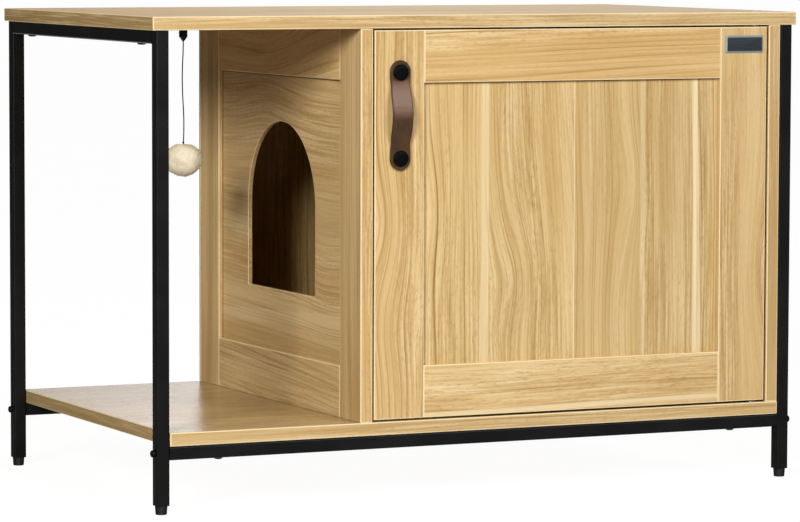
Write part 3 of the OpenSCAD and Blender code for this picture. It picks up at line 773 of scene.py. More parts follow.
@dataclass(frozen=True)
class Outline:
    """A closed outline with softened corners: fixed core points and the reach from each to the skin."""

    core: np.ndarray
    reach: np.ndarray
    wear_and_highlight: np.ndarray

    @classmethod
    def of_corners(cls, corners: Sequence[Sequence[float]], radius: float,
                   steps: int = ARC_STEPS) -> "Outline":
        """Softens each corner of a polygon that is drawn anticlockwise.

        At an outer corner the core lies a radius inside both edges, and the reach turns from one
        edge's normal to the next one's. At an inner corner the reach is the sum of both normals,
        so the skin keeps its sharp corner. A point just past each arc ends the arc's wear and painted
        highlight.

        Args:
            corners: the polygon's corners in order.
            radius: the softening radius.
            steps: spans in each corner's arc.

        Returns:
            The outline, with its skin at the polygon.
        """
        points = np.asarray(corners, float)
        along = unit(np.roll(points, -1, axis=0) - points)
        after = np.stack([along[:, 1], -along[:, 0]], axis=1)
        before = np.roll(after, 1, axis=0)
        outer = (before[:, 0] * after[:, 1] - before[:, 1] * after[:, 0]) > 0
        start = np.arctan2(before[:, 1], before[:, 0])
        turn = np.where(outer, np.pi / 2, 0.0)
        angle = start[:, None] + turn[:, None] * np.linspace(0.0, 1.0, steps + 1)
        arc = np.stack([np.cos(angle), np.sin(angle)], axis=-1)
        miter = np.broadcast_to((before + after)[:, None, :], arc.shape)
        reach = np.where(outer[:, None, None], arc, miter) * radius
        core = np.broadcast_to((points - (before + after) * radius)[:, None, :], arc.shape)
        back, ahead = np.roll(along, 1, axis=0)[:, None, :] * FADE, along[:, None, :] * FADE
        core = np.concatenate([core[:, :1] - back, core, core[:, -1:] + ahead], axis=1)
        reach = np.concatenate([reach[:, :1], reach, reach[:, -1:]], axis=1)
        wear_and_highlight = np.pad(np.broadcast_to(outer[:, None] * 1.0, arc.shape[:2]), ((0, 0), (1, 1)))
        return cls(core.reshape(-1, 2), reach.reshape(-1, 2), wear_and_highlight.reshape(-1))

    @classmethod
    def of_box(cls, low: Sequence[float], high: Sequence[float], radius: float,
               steps: int = ARC_STEPS) -> "Outline":
        """Softens the corners of the rectangle between a lowest and a highest corner."""
        corners = [(low[0], low[1]), (high[0], low[1]), (high[0], high[1]), (low[0], high[1])]
        return cls.of_corners(corners, radius, steps)


@dataclass(frozen=True)
class Tongue:
    """The thinner end of a rail, inside a stile's groove: how far it reaches and its own rectangle."""

    length: float
    low: tuple[float, float]
    high: tuple[float, float]


def carried(outline: Outline, start: float, end: float, radius: float,
            tongue: Tongue | None = None) -> tuple[np.ndarray, np.ndarray]:
    """Carries an outline along a straight path and softens both ends.

    At an end, the reach shrinks with the cosine of an angle from 0 to 90 degrees while the outline
    moves out by the radius times its sine. With a tongue, the outline is held inside the tongue's
    rectangle past the shoulder.

    Args:
        outline: the outline, in two coordinates.
        start: where the path starts, without a tongue.
        end: where it ends.
        radius: the softening radius of the ends.
        tongue: the thinner part past each end, if there is one.

    Returns:
        Rows of points with the path's coordinate last, and each point's weight of wear and painted
        highlight.
    """
    bend = np.linspace(0.0, np.pi / 2, ARC_STEPS + 1)
    angle = np.concatenate([bend[::-1], [0.0, 0.0], bend])
    rise = radius * (1 - np.sin(bend))
    place = np.concatenate([start + rise[::-1], [start + radius + FADE, end - radius - FADE], end - rise])
    skin = outline.core + outline.reach * np.cos(angle)[:, None, None]
    rim = np.concatenate([[0.0], np.ones(ARC_STEPS), [0.0, 0.0], np.ones(ARC_STEPS), [0.0]])
    side = np.pad(np.ones(len(angle) - 2), 1)
    wear_and_highlight = np.maximum(outline.wear_and_highlight * side[:, None], rim[:, None])
    if tongue is not None:
        full = np.broadcast_to(outline.core + outline.reach, (2,) + outline.core.shape)
        thin = np.clip(full, tongue.low, tongue.high)
        skin = np.concatenate([thin, skin, thin])
        place = np.concatenate([[start - tongue.length, start], place, [end, end + tongue.length]])
        wear_and_highlight = np.pad(wear_and_highlight, ((2, 2), (0, 0)))
    path = np.broadcast_to(place[:, None, None], skin.shape[:2] + (1,))
    return np.concatenate([skin, path], axis=-1), wear_and_highlight


def to_frame(points: np.ndarray, axes: Sequence[Axis]) -> np.ndarray:
    """Gives points, whose coordinates belong to the axes given, their order in the frame."""
    return points[..., np.argsort([axis.value for axis in axes])]


def box_of(node: str) -> tuple[np.ndarray, np.ndarray]:
    """The lowest and highest corner of a CAD node, as arrays."""
    low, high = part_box(node)
    return np.array(low), np.array(high)


def block(low: np.ndarray, high: np.ndarray, axes: tuple[Axis, Axis, Axis],
          soft: float) -> tuple[np.ndarray, np.ndarray]:
    """A board with softened edges: a rectangle carried along an axis.

    Args:
        low: its lowest corner.
        high: its highest corner.
        axes: the rectangle's two axes, then the one that it is carried along.
        soft: the softening radius.

    Returns:
        Rows of points and their weights of wear and painted highlight.
    """
    u, v, run = (axis.value for axis in axes)
    points, wear_and_highlight = carried(Outline.of_box(low[[u, v]], high[[u, v]], soft), low[run], high[run], soft)
    return to_frame(points, axes), wear_and_highlight


def lathe(profile: np.ndarray, middle: Sequence[float], axis: Axis, sides: int = 40) -> np.ndarray:
    """Turns a profile round an axis.

    A point at radius r and height h goes to r times cosine and sine of the turn, and h along the axis.

    Args:
        profile: rows of radius and height.
        middle: the point of the axis where the height is 0.
        axis: Y or Z, the axis of the turn.
        sides: points in a full turn.

    Returns:
        Rows of points, one row for each row of the profile.
    """
    turn = turns(sides)
    radius, height = profile[:, :1], profile[:, 1:]
    parts = np.stack([radius * np.cos(turn), radius * np.sin(turn), height + 0 * turn], axis=-1)
    return to_frame(parts, (Axis.X, third(Axis.X, axis), axis)) + np.array(middle)


def tube(path: np.ndarray, radius: float, sides: int, upright: Triple, lobes: int = 0,
         pitch: float = 1.0, dent: float = 0.0) -> np.ndarray:
    """Carries a round section along a path.

    The section lies across the path's direction. Its radius is cut by a dent times half of one plus
    the cosine of the lobes' angle, which turns once each pitch, so that strands wind round the path.

    Args:
        path: rows of points.
        radius: the section's radius.
        sides: points round the section.
        upright: a direction that the path never runs along.
        lobes: strands in the lay.
        pitch: length of a turn of the lay.
        dent: how deep the groove between strands is, as a share of the radius.

    Returns:
        Rows of points, one row for each point of the path.
    """
    ahead = np.gradient(path, axis=0)
    step = np.linalg.norm(ahead, axis=1, keepdims=True)
    side = unit(np.cross(ahead / step, np.array(upright)))
    up = np.cross(side, ahead / step)
    turn = turns(sides)
    run = np.cumsum(step[:, 0])[:, None]
    groove = dent * 0.5 * (1 + np.cos(lobes * (turn - 2 * np.pi * run / pitch)))
    return path[:, None, :] + (radius * (1 - groove))[..., None] * circle(turn, side, up)


def paint(node: str, material: bpy.types.Material) -> None:
    """Gives a CAD node's material slots one material."""
    for place in frame["nodes"][node].material_slots:
        place.material = material


def edge_band(piece: bpy.types.Object, normal: Axis, seed: float, tone: float = 1.0,
              towards: int = 0) -> None:
    """Gives the faces that look along an axis an edge band, with its grain along their longer side.

    Args:
        piece: the board or frame member.
        normal: the axis that the banded faces look along.
        seed: moves the band's figure.
        tone: how light the band is. One in deep shade is dull too.
        towards: -1 or 1 for only the faces that look to the axis's low or high end, 0 for both.
    """
    mesh, box = piece.data, np.array(piece.bound_box)
    size, middle = box.max(axis=0) - box.min(axis=0), (box.max(axis=0) + box.min(axis=0)) / 2
    run, across = sorted((axis for axis in Axis if axis != normal), key=lambda axis: -size[axis.value])
    rough, shine = SATIN if tone > DULL_TONE else DULL
    oak = Oak(f"{piece.name}_band_{normal.name}_{seed:.0f}", run, across,
              (middle[across.value] - BAND_PITH, middle[normal.value]), taper=1.5, spacing=4 * MM,
              contrast=0.8, tone=tone, seed=seed, rough=rough, shine=shine)
    normals, index = np.empty(len(mesh.polygons) * 3, np.float32), np.zeros(len(mesh.polygons), np.int32)
    mesh.polygons.foreach_get("normal", normals)
    mesh.polygons.foreach_get("material_index", index)
    facing = normals.reshape(-1, 3)[:, normal.value]
    index[(facing * towards if towards else np.abs(facing)) > FACING] = len(mesh.materials)
    mesh.materials.append(oak.material())
    mesh.polygons.foreach_set("material_index", index)


@dataclass(frozen=True)
class Lamp:
    """A broad light: degrees right of the front's middle and above the level, width and strength.

    Without a distance it is far away. The strength is what reaches the object's middle. A patch of
    the room fades over its blur, in degrees.
    """

    azimuth: float
    height: float
    width: float
    strength: float
    distance: float = 0.0
    blur: float = 9.0
    colour: Triple = (1.0, 1.0, 1.0)

    def towards(self) -> np.ndarray:
        """The direction from the object to the light."""
        side, lift = np.radians([self.azimuth, self.height])
        return np.array([np.sin(side) * np.cos(lift), -np.cos(side) * np.cos(lift), np.sin(lift)])


@dataclass
class Studio:
    """The floor, the light and the camera of the photograph."""

    camera_at: Triple = (-2.0738, -4.4247, 0.6468)
    camera_turn: float = 25.143
    camera_dip: float = 4.648
    camera_roll: float = 0.148
    camera_reach: float = 4157.4
    sensor: float = 36.0
    floor_half: float = 60.0
    floor_glow: float = 0.955
    main_light: Lamp = Lamp(25.0, 30.0, 26.0, 1.51)
    side_light: Lamp = Lamp(-46.5, 18.8, 16.0, 1.82, 4.5, colour=(1.0, 0.985, 0.93))
    top_light: Lamp = Lamp(160.0, 80.0, 30.0, 0.45, 1.0)
    middle: Triple = (0.0, 0.0, 0.27)
    sun_distance: float = 5.0
    cove: Lamp = Lamp(152.0, 12.0, 14.0, 2.3, blur=5.0)
    bounce: Lamp = Lamp(0.0, -45.0, 60.0, 0.89)
    rear_bounce: Lamp = Lamp(180.0, -45.0, 60.0, 2.2)
    ambient: float = 0.06

    def stand(self, thing: bpy.types.Object, axes: Sequence[np.ndarray], place: Sequence[float]) -> None:
        """Puts the camera or a light in its place.

        Args:
            thing: the camera or light.
            axes: the directions to its right, over it and behind it.
            place: where it stands.
        """
        pose = np.eye(4)
        pose[:3, :3] = np.stack(axes, axis=1)
        pose[:3, 3] = place
        thing.matrix_world = Matrix(pose.tolist())
        bpy.context.scene.collection.objects.link(thing)

    def camera(self) -> None:
        """Makes the camera from the turn, dip and roll that fit the photograph."""
        turn, dip, roll = np.radians([self.camera_turn, self.camera_dip, self.camera_roll])
        ahead = np.array([np.sin(turn) * np.cos(dip), np.cos(turn) * np.cos(dip), -np.sin(dip)])
        right = np.array([np.cos(turn), -np.sin(turn), 0.0])
        up = np.cross(right, ahead)
        right, up = (np.cos(roll) * right + np.sin(roll) * up, np.cos(roll) * up - np.sin(roll) * right)
        data = bpy.data.cameras.new("camera")
        data.sensor_width = self.sensor
        data.lens = self.camera_reach * self.sensor / PHOTO_WIDTH
        data.clip_end = 2 * self.floor_half
        eye = bpy.data.objects.new("camera", data)
        self.stand(eye, (right, up, -ahead), self.camera_at)
        bpy.context.scene.camera = eye

    def floor(self) -> None:
        """Makes the pale floor, which the object stands on."""
        shader = Shader("floor_paint")
        colour = shader.mix(shader.noise(3.0), tint(92, 91, 90), tint(84, 83, 82))
        paper = shader.finish(Base_Color=colour, Roughness=0.9, Specular_IOR_Level=0.0,
                              Emission_Color=WHITE, Emission_Strength=self.floor_glow)
        side = np.array([-1.0, 1.0]) * self.floor_half
        sheet = np.stack([*np.meshgrid(side, side), np.zeros((2, 2))], axis=-1)
        ground = Shell().add_grid(sheet, ring=False).build("floor", paper)
        ground.visible_diffuse = False
        ground.visible_glossy = False

    def light(self, name: str, lamp: Lamp) -> None:
        """Adds a broad soft light, a sun or a near disc.

        A disc looks as wide from the object as its lamp says. Its power is four times the squared
        distance for each unit of strength.

        Args:
            name: the light's name.
            lamp: its direction, width, strength and distance.
        """
        data = bpy.data.lights.new(name, "AREA" if lamp.distance else "SUN")
        if lamp.distance:
            data.shape = "DISK"
            data.size = 2 * lamp.distance * math.tan(math.radians(lamp.width / 2))
            data.energy = 4 * lamp.distance**2 * lamp.strength
        else:
            data.energy = lamp.strength
            data.angle = math.radians(lamp.width)
        data.color = lamp.colour
        light = bpy.data.objects.new(name, data)
        light.visible_camera = False
        towards = lamp.towards()
        level = unit(np.cross([0.0, 0.0, 1.0], towards))
        place = np.array(self.middle) + (lamp.distance or self.sun_distance) * towards
        self.stand(light, (level, np.cross(towards, level), towards), place)

    def glow(self, way: Wire, lamp: Lamp) -> Wire:
        """A bright round patch of the room, from the cosine between a direction and its middle.

        Args:
            way: the direction.
            lamp: the patch.

        Returns:
            The light that comes from the direction.
        """
        cosine = way.shader.add("ShaderNodeVectorMath", {"operation": "DOT_PRODUCT"},
                                {0: way, 1: lamp.towards().tolist()}, "Value")
        rim = np.cos(np.radians([lamp.width / 2 + lamp.blur, max(lamp.width / 2 - lamp.blur, 0.0)]))
        return cosine.step(*rim.tolist()) * lamp.strength

    def surroundings(self) -> None:
        """Makes the room: dark, with a bright cove behind and a bright floor in front and behind."""
        world = bpy.data.worlds.new("room")
        world.use_nodes = True
        bpy.context.scene.world = world
        shader = Shader("room", world.node_tree)
        way = shader.add("ShaderNodeTexCoord")
        cove, bounce, rear = (self.glow(way, lamp)
                              for lamp in (self.cove, self.bounce, self.rear_bounce))
        level = cove + bounce + rear + self.ambient
        lit = shader.add("ShaderNodeBackground", None, {"Color": WHITE, "Strength": level})
        seen = shader.add("ShaderNodeBackground", None, {"Color": WHITE, "Strength": 1.0})
        camera = shader.add("ShaderNodeLightPath", output="Is Camera Ray")
        both = shader.add("ShaderNodeMixShader", None, {0: camera, 1: lit, 2: seen})
        shader.add("ShaderNodeOutputWorld", None, {"Surface": both})

    def build(self) -> None:
        """Makes the camera first, then the floor, the room and the three lights."""
        self.camera()
        self.floor()
        self.surroundings()
        for name, lamp in (("main_light", self.main_light), ("side_light", self.side_light),
                           ("top_light", self.top_light)):
            self.light(name, lamp)
        bpy.context.scene.view_settings.view_transform = "Standard"
        LOG.info("studio: camera, floor, room and three lights")


@dataclass
class HangingToy:
    """A cap under the top board, a thin cord that hangs from it and a felt ball."""

    cord_radius: float = 0.7 * MM
    cord_sides: int = 18
    cord_splits: int = 24
    lay_pitch: float = 4.2 * MM
    lay_dent: float = 0.1
    ball_rows: int = 72
    ball_sides: int = 96
    ball_fill: float = 0.985
    lump: float = 0.045
    dimple: float = 0.07
    dimple_reach: float = 0.03
    hairs: int = 900
    hair_lean: float = 0.9
    hair_length: tuple[float, float] = (0.5, 1.7)
    tie_sides: int = 10
    tie_size: float = 0.31 * MM
    tie_radius: float = 0.55 * MM
    tie_points: int = 60
    tie_lift: float = 0.3 * MM
    cone: float = 4.2 * MM
    tip: float = 1.8 * MM
    soft: float = 0.5 * MM
    seat: float = 1.35 * MM
    seat_points: int = 7
    lip: float = 0.12 * MM

    ROUTE = ((0, 0, 1.25), (0, 0, 6), (-0.2, 0.1, 14), (-0.5, 0.3, 22), (-0.8, 0.4, 30), (-1, 0.4, 38),
             (-1.1, 0.3, 46), (-1, 0.1, 54), (-0.8, -0.1, 62), (-0.5, -0.3, 70), (-0.1, -0.4, 78),
             (0.3, -0.4, 86), (0.5, -0.3, 94), (0.5, -0.2, 102), (0.3, -0.1, 110), (0, 0, 116),
             (0, 0, 120))
    HAIR_SHARES = np.array([-0.25, 0.35, 0.75, 1.0])
    HAIR_RADII = np.array([0.06, 0.055, 0.04, 0.015]) * MM
    WAVES = ((0.38, 2.3), (0.32, 3.4), (0.2, 5.0), (0.16, 8.0), (0.1, 14.0), (0.07, 24.0), (0.05, 38.0))

    def pivot(self) -> np.ndarray:
        """The middle of the knot that the cord swings on."""
        low, high = box_of("toy_knot")
        return (low + high) / 2

    def centreline(self) -> np.ndarray:
        """The cord's own line: a smooth curve through the route's points, below the pivot.

        Each stretch between two points is the cubic that passes through both with the direction of
        their neighbours' chord.

        Returns:
            Rows of points, from the cap to the ball.
        """
        route = np.array(self.ROUTE) * (MM, MM, -MM)
        ends = np.concatenate([route[:1], route, route[-1:]])
        a, b, c, d = (ends[i:len(ends) - 3 + i, None, :] for i in range(4))
        t = (np.arange(self.cord_splits) / self.cord_splits)[None, :, None]
        curve = 0.5 * (2 * b + (c - a) * t + (2 * a - 5 * b + 4 * c - d) * t**2
                       + (3 * b - a - 3 * c + d) * t**3)
        return np.concatenate([curve.reshape(-1, 3), route[-1:]]) + self.pivot()

    def cord(self, twine: bpy.types.Material) -> None:
        """Makes the cord, laid from three strands.

        Args:
            twine: the cord's material.
        """
        path = self.centreline()
        skin = tube(path, self.cord_radius, self.cord_sides, (0.0, 1.0, 0.0),
                    lobes=3, pitch=self.lay_pitch, dent=self.lay_dent)
        piece = Shell().add_grid(skin, caps=True).settle("laid_toy_cord", twine, Body.TOY, "cord_black",
                                                         "toy_cord")

    def tie(self, twine: bpy.types.Material) -> None:
        """Makes the small overhand knot where the cord enters the ball.

        The knot's line is the trefoil: sine of t plus twice the sine of 2t, cosine of t less twice the
        cosine of 2t, and less the sine of 3t.

        Args:
            twine: the cord's material.
        """
        t = turns(self.tie_points)
        line = np.stack([np.sin(t) + 2 * np.sin(2 * t), np.cos(t) - 2 * np.cos(2 * t), -np.sin(3 * t)], 1)
        closed = np.concatenate([line[-2:], line, line[:2]]) * self.tie_size
        skin = tube(closed, self.tie_radius, self.tie_sides, (0.0, 0.0, 1.0))[2:-2]
        middle = np.array([*self.pivot()[:2], box_of("toy_ball")[1][2] + self.tie_lift])
        Shell().add_grid(skin + middle, loop=True).settle("toy_cord_tie", twine, Body.TOY, "cord_black")

    def ball(self, felt: bpy.types.Material) -> None:
        """Makes the felt ball: an ellipsoid with lumps, and loose hairs that stand off it.

        A point's distance from the middle is the ellipsoid's times one plus a sum of sines of the
        point's direction, measured along random axes: slow for lumps and fast for matted wool.

        Args:
            felt: the ball's material.
        """
        rng = np.random.default_rng(SEED)
        low, high = box_of("toy_ball")
        half, middle = (high - low) / 2, (low + high) / 2
        axes = unit(rng.normal(size=(len(self.WAVES), 3)))
        phase = rng.uniform(0, 2 * np.pi, len(self.WAVES))

        def skin(way: np.ndarray) -> np.ndarray:
            """The ball's surface.

            Args:
                way: unit directions from the ball's middle.

            Returns:
                The surface's point in each direction.
            """
            swell = sum(self.lump * share * np.sin(pace * (way @ axis) * 2 + start)
                        for (share, pace), axis, start in zip(self.WAVES, axes, phase))
            dimple = self.dimple * np.exp(-((1 - way[..., 2]) / self.dimple_reach) ** 2)
            return middle + way * half * (self.ball_fill + swell - dimple)[..., None]

        rise = np.linspace(-np.pi / 2, np.pi / 2, self.ball_rows)[:, None]
        turn = turns(self.ball_sides)[None, :]
        way = np.stack([np.cos(rise) * np.cos(turn), np.cos(rise) * np.sin(turn),
                        np.sin(rise) + 0 * turn], axis=-1)
        shell = Shell().add_grid(skin(way))
        self.hair(shell, skin, rng)
        piece = shell.settle("felted_ball", felt, Body.TOY, "felt", "toy_ball")

    def hair(self, shell: Shell, skin: Callable[[np.ndarray], np.ndarray],
             rng: np.random.Generator) -> None:
        """Adds fine loose hairs, each a thin three-sided tube that leans over as it leaves the wool.

        Args:
            shell: the ball's shell.
            skin: gives the surface's point for a direction.
            rng: the source of chance.
        """
        way = unit(rng.normal(size=(self.hairs, 3)))
        lean = unit(np.cross(way, rng.normal(size=(self.hairs, 3))))
        side = np.cross(way, lean)
        length = rng.uniform(*self.hair_length, (self.hairs, 1)) * MM
        share, thick = self.HAIR_SHARES, self.HAIR_RADII
        line = (skin(way)[:, None, :] + share[None, :, None] * length[:, None] * way[:, None, :]
                + (share**2)[None, :, None] * self.hair_lean * length[:, None] * lean[:, None, :])
        spoke = circle(turns(3), side, lean)
        for strand in line[:, :, None, :] + thick[None, :, None, None] * spoke[:, None, :, :]:
            shell.add_grid(strand, caps=True)

    def cap(self, black: bpy.types.Material) -> None:
        """Makes the cap that the cord hangs from: a round bar with a blunt cone and the knot's seat.

        The seat's profile is an arc about the pivot, from straight above it down to the cone's lip.

        Args:
            black: the cap's material.
        """
        low, high = box_of("toy_cap")
        radius, length, soft = (high[0] - low[0]) / 2, high[2] - low[2], self.soft
        out = low[2] - self.pivot()[2]
        bend = np.linspace(np.pi / 2, math.asin((out + self.lip) / self.seat),
                           self.seat_points)
        seat = np.stack([self.seat * np.cos(bend), self.seat * np.sin(bend) - out], axis=1)
        skin = [[self.tip - 0.5 * soft, 0.5 * self.lip], [self.tip, 0.4 * soft],
                [radius - soft, self.cone - 0.6 * soft], [radius - 0.2 * soft, self.cone],
                [radius, self.cone + soft], [radius, length], [0.0, length]]
        middle = (*((low + high) / 2)[:2], low[2])
        Shell().add_grid(lathe(np.concatenate([seat, skin]), middle, Axis.Z)).settle(
            "turned_toy_cap", black, Body.CARCASS, "black_cap", "toy_cap")

    def build(self) -> None:
        """Makes the cord first, then its knots, the ball and the cap."""
        twine = Twine("waxed_cord").material()
        self.cord(twine)
        self.tie(twine)
        paint("toy_knot", twine)
        self.ball(Felt("wool_felt").material())
        self.cap(PowderCoat("cap_paint", tint(14, 14, 14), 0.45).material())


@dataclass
class Boards:
    """The plain boards: table top, shelf, right wall and back panel."""

    soft: float = 0.9 * MM
    soft_share: float = 0.2
    sink: float = 0.15 * MM
    end_tone: float = 0.6
    side_tone: float = 0.86
    pith_below: float = 0.1

    def board(self, node: str, slot: str, lift: Triple, oak: Oak) -> None:
        """Makes one board with softened edges, its outline carried along the grain.

        Args:
            node: the CAD node that it replaces.
            slot: the record's material slot.
            lift: how far its low faces stand back, so that flush screws show.
            oak: its laminate.
        """
        low, high = box_of(node)
        low = low + np.array(lift)
        axes = (oak.across, third(oak.grain, oak.across), oak.grain)
        thin = min(high[axis.value] - low[axis.value] for axis in axes[:2])
        points, wear_and_highlight = block(low, high, axes, min(self.soft, self.soft_share * thin))
        piece = Shell().add_grid(points, wear_and_highlight, caps=True).settle("oak_" + node, oak.material(),
                                                                 Body.CARCASS, slot, node)
        edge_band(piece, oak.grain, oak.seed + BAND_SEEDS[0], self.end_tone)
        edge_band(piece, oak.across, oak.seed + BAND_SEEDS[1], self.side_tone)

    def build(self) -> None:
        """Makes the four boards."""
        none, below, beside = (0.0, 0.0, 0.0), (0.0, 0.0, self.sink), (self.sink, 0.0, 0.0)
        top, shelf = (box_of(node)[0][2] - self.pith_below for node in ("top_board", "shelf_board"))
        self.board("top_board", "oak_board", none,
                   Oak("oak_top", Axis.X, Axis.Y, (0.3, top), sway=0.02, seed=1.0, rough=0.42, shine=0.2))
        self.board("shelf_board", "oak_board", below,
                   Oak("oak_shelf", Axis.X, Axis.Y, (-0.3, shelf), sway=0.02, tone=0.86, contrast=0.7,
                       seed=8.0, rough=0.2, shine=0.9))
        self.board("right_wall", "oak_board", beside,
                   Oak("oak_right_wall", Axis.Z, Axis.Y, (0.35, 0.25), sway=0.02, seed=15.0))
        self.board("back_panel", "back_board", none,
                   Oak("oak_back", Axis.Z, Axis.X, (0.5, 0.33), sway=0.02, seed=22.0,
                       light=tint(214, 181, 120), warm=tint(198, 162, 98)))


@dataclass
class FramedWall:
    """A panel in a frame, as the side wall and the door have.

    The frame's nodes are its two stiles, the lower one across the wall first, then its top and bottom
    rail. A figure belongs to each of them. A contact is painted shade along the members' foot, where the
    wall stands on the shelf: its width, strength and soft sides.
    """

    frame: tuple[str, str, str, str]
    panel: str
    across: Axis
    panel_grain: Axis
    body: Body
    seed: float
    soft: float = 0.8 * MM
    play: float = 0.5 * MM
    sink: float = 0.0
    # Widths of the panel's painted shadow lines under the top rail and beside the stile.
    under: float = 1.6 * MM
    beside: float = 1.6 * MM
    inner_tone: float = 1.0
    outer_tone: float = 1.0
    base: bool = False
    pith_depth: float = 0.1
    seed_step: float = 7.3

    FIGURES: ClassVar[Sequence[dict[str, Any]]] = ()
    CONTACTS = ((1.2 * MM, 0.7, 0.6 * MM, 0.8 * MM), (30 * MM, 0.16, 2 * MM, 100 * MM))
    SEAM_SHADOW_STRENGTHS = (0.6, 0.45)
    SEAM_SHADOW_SOFT = 0.8 * MM

    def deep(self) -> Axis:
        """The axis through the wall's thickness."""
        return third(Axis.Z, self.across)

    def between(self) -> tuple[float, float]:
        """The stiles' inner sides, across the wall."""
        sides = sorted(corner[self.across.value] for node in self.frame[:2] for corner in box_of(node))
        return sides[1], sides[2]

    def groove(self) -> tuple[float, float, float]:
        """The two faces of the panel's groove and how deep it is cut."""
        (low, high), (deep, across) = box_of(self.panel), (self.deep().value, self.across.value)
        return low[deep], high[deep], box_of(self.frame[0])[1][across] - low[across] + self.play

    def seam_shadows(self) -> tuple[Streak, Streak]:
        """The panel's painted shadow lines under the top rail and beside the stile on the photograph's
        left.

        Returns:
            Both lines.
        """
        level = self.panel_grain != Axis.Z
        under, beside = box_of(self.frame[2])[0][2], self.between()[self.across == Axis.Y]
        return tuple(Streak(place, width, strength, 0.0, self.SEAM_SHADOW_SOFT, self.SEAM_SHADOW_SOFT, True, crosswise)
                     for place, width, strength, crosswise in zip(
                         (under, beside), (self.under, self.beside), self.SEAM_SHADOW_STRENGTHS,
                         (not level, level)))

    def laminate(self, node: str, grain: Axis, offset: float, **figure: Any) -> Oak:
        """The laminate of one member.

        Args:
            node: the CAD node.
            grain: the way the fibres run.
            offset: where the pith lies across the grain, from the member's middle.
            figure: other fields of the laminate.

        Returns:
            The laminate.
        """
        low, high = box_of(node)
        wide = self.across if grain == Axis.Z else Axis.Z
        self.seed += self.seed_step
        # Painted shade: a wall that stands on the shelf gets a thin dark line at its foot and a broad
        # darkening above it.
        if self.base:
            foot, upright = box_of(self.frame[0])[0][2], grain == Axis.Z
            figure["streaks"] = figure.get("streaks", ()) + tuple(
                Streak(foot, width, strength, 0.0, low_side, high_side, True, upright)
                for width, strength, low_side, high_side in self.CONTACTS)
        pith = ((low[wide.value] + high[wide.value]) / 2 + offset,
                low[self.deep().value] + self.pith_depth)
        return Oak("oak_" + node, grain, wide, pith, seed=self.seed, **figure)

    def member(self, node: str, grain: Axis, lip: Lip, offset: float, **figure: Any) -> None:
        """Makes a stile or a rail, with the groove on its inner edge and tongues on a rail.

        Args:
            node: the CAD node that it replaces.
            grain: the way it runs.
            lip: the edge that is grooved.
            offset: where the pith lies across the grain, from the member's middle.
            figure: other fields of its laminate.
        """
        oak = self.laminate(node, grain, offset, **figure)
        low, high = box_of(node)
        deep, (near, far, sunk) = self.deep(), self.groove()
        a0, a1 = low[oak.across.value], high[oak.across.value]
        d0, d1 = low[deep.value], high[deep.value]
        start, end, tongue = low[grain.value], high[grain.value], None
        if grain == Axis.Z:
            d1 -= self.sink
        notch = {Lip.HIGH: [(a1, d0), (a1, near), (a1 - sunk, near), (a1 - sunk, far), (a1, far),
                            (a1, d1), (a0, d1), (a0, d0)],
                 Lip.LOW: [(a1, d0), (a1, d1), (a0, d1), (a0, far), (a0 + sunk, far),
                           (a0 + sunk, near), (a0, near), (a0, d0)]}[lip]
        if grain != Axis.Z:
            inner = self.between()
            tongue = Tongue(inner[0] - start, (a0 if lip == Lip.HIGH else a0 + sunk, near),
                            (a1 - sunk if lip == Lip.HIGH else a1, far))
            start, end = inner
        points, wear_and_highlight = carried(Outline.of_corners(notch, self.soft), start, end, self.soft, tongue)
        shell = Shell().add_grid(to_frame(points, (oak.across, deep, grain)), wear_and_highlight, caps=True)
        piece = shell.settle("oak_" + node, oak.material(), self.body, "oak_board", node)
        edge_band(piece, grain, oak.seed + BAND_SEEDS[0], self.outer_tone)
        edge_band(piece, oak.across, oak.seed + BAND_SEEDS[1], self.inner_tone, lip.value)
        edge_band(piece, oak.across, oak.seed + BAND_SEEDS[2], self.outer_tone, -lip.value)

    def members(self) -> None:
        """Makes the two stiles, then the two rails."""
        ways = ((Axis.Z, Lip.HIGH), (Axis.Z, Lip.LOW), (self.across, Lip.LOW), (self.across, Lip.HIGH))
        for node, (grain, lip), figure in zip(self.frame, ways, self.FIGURES):
            self.member(node, grain, lip, **figure)


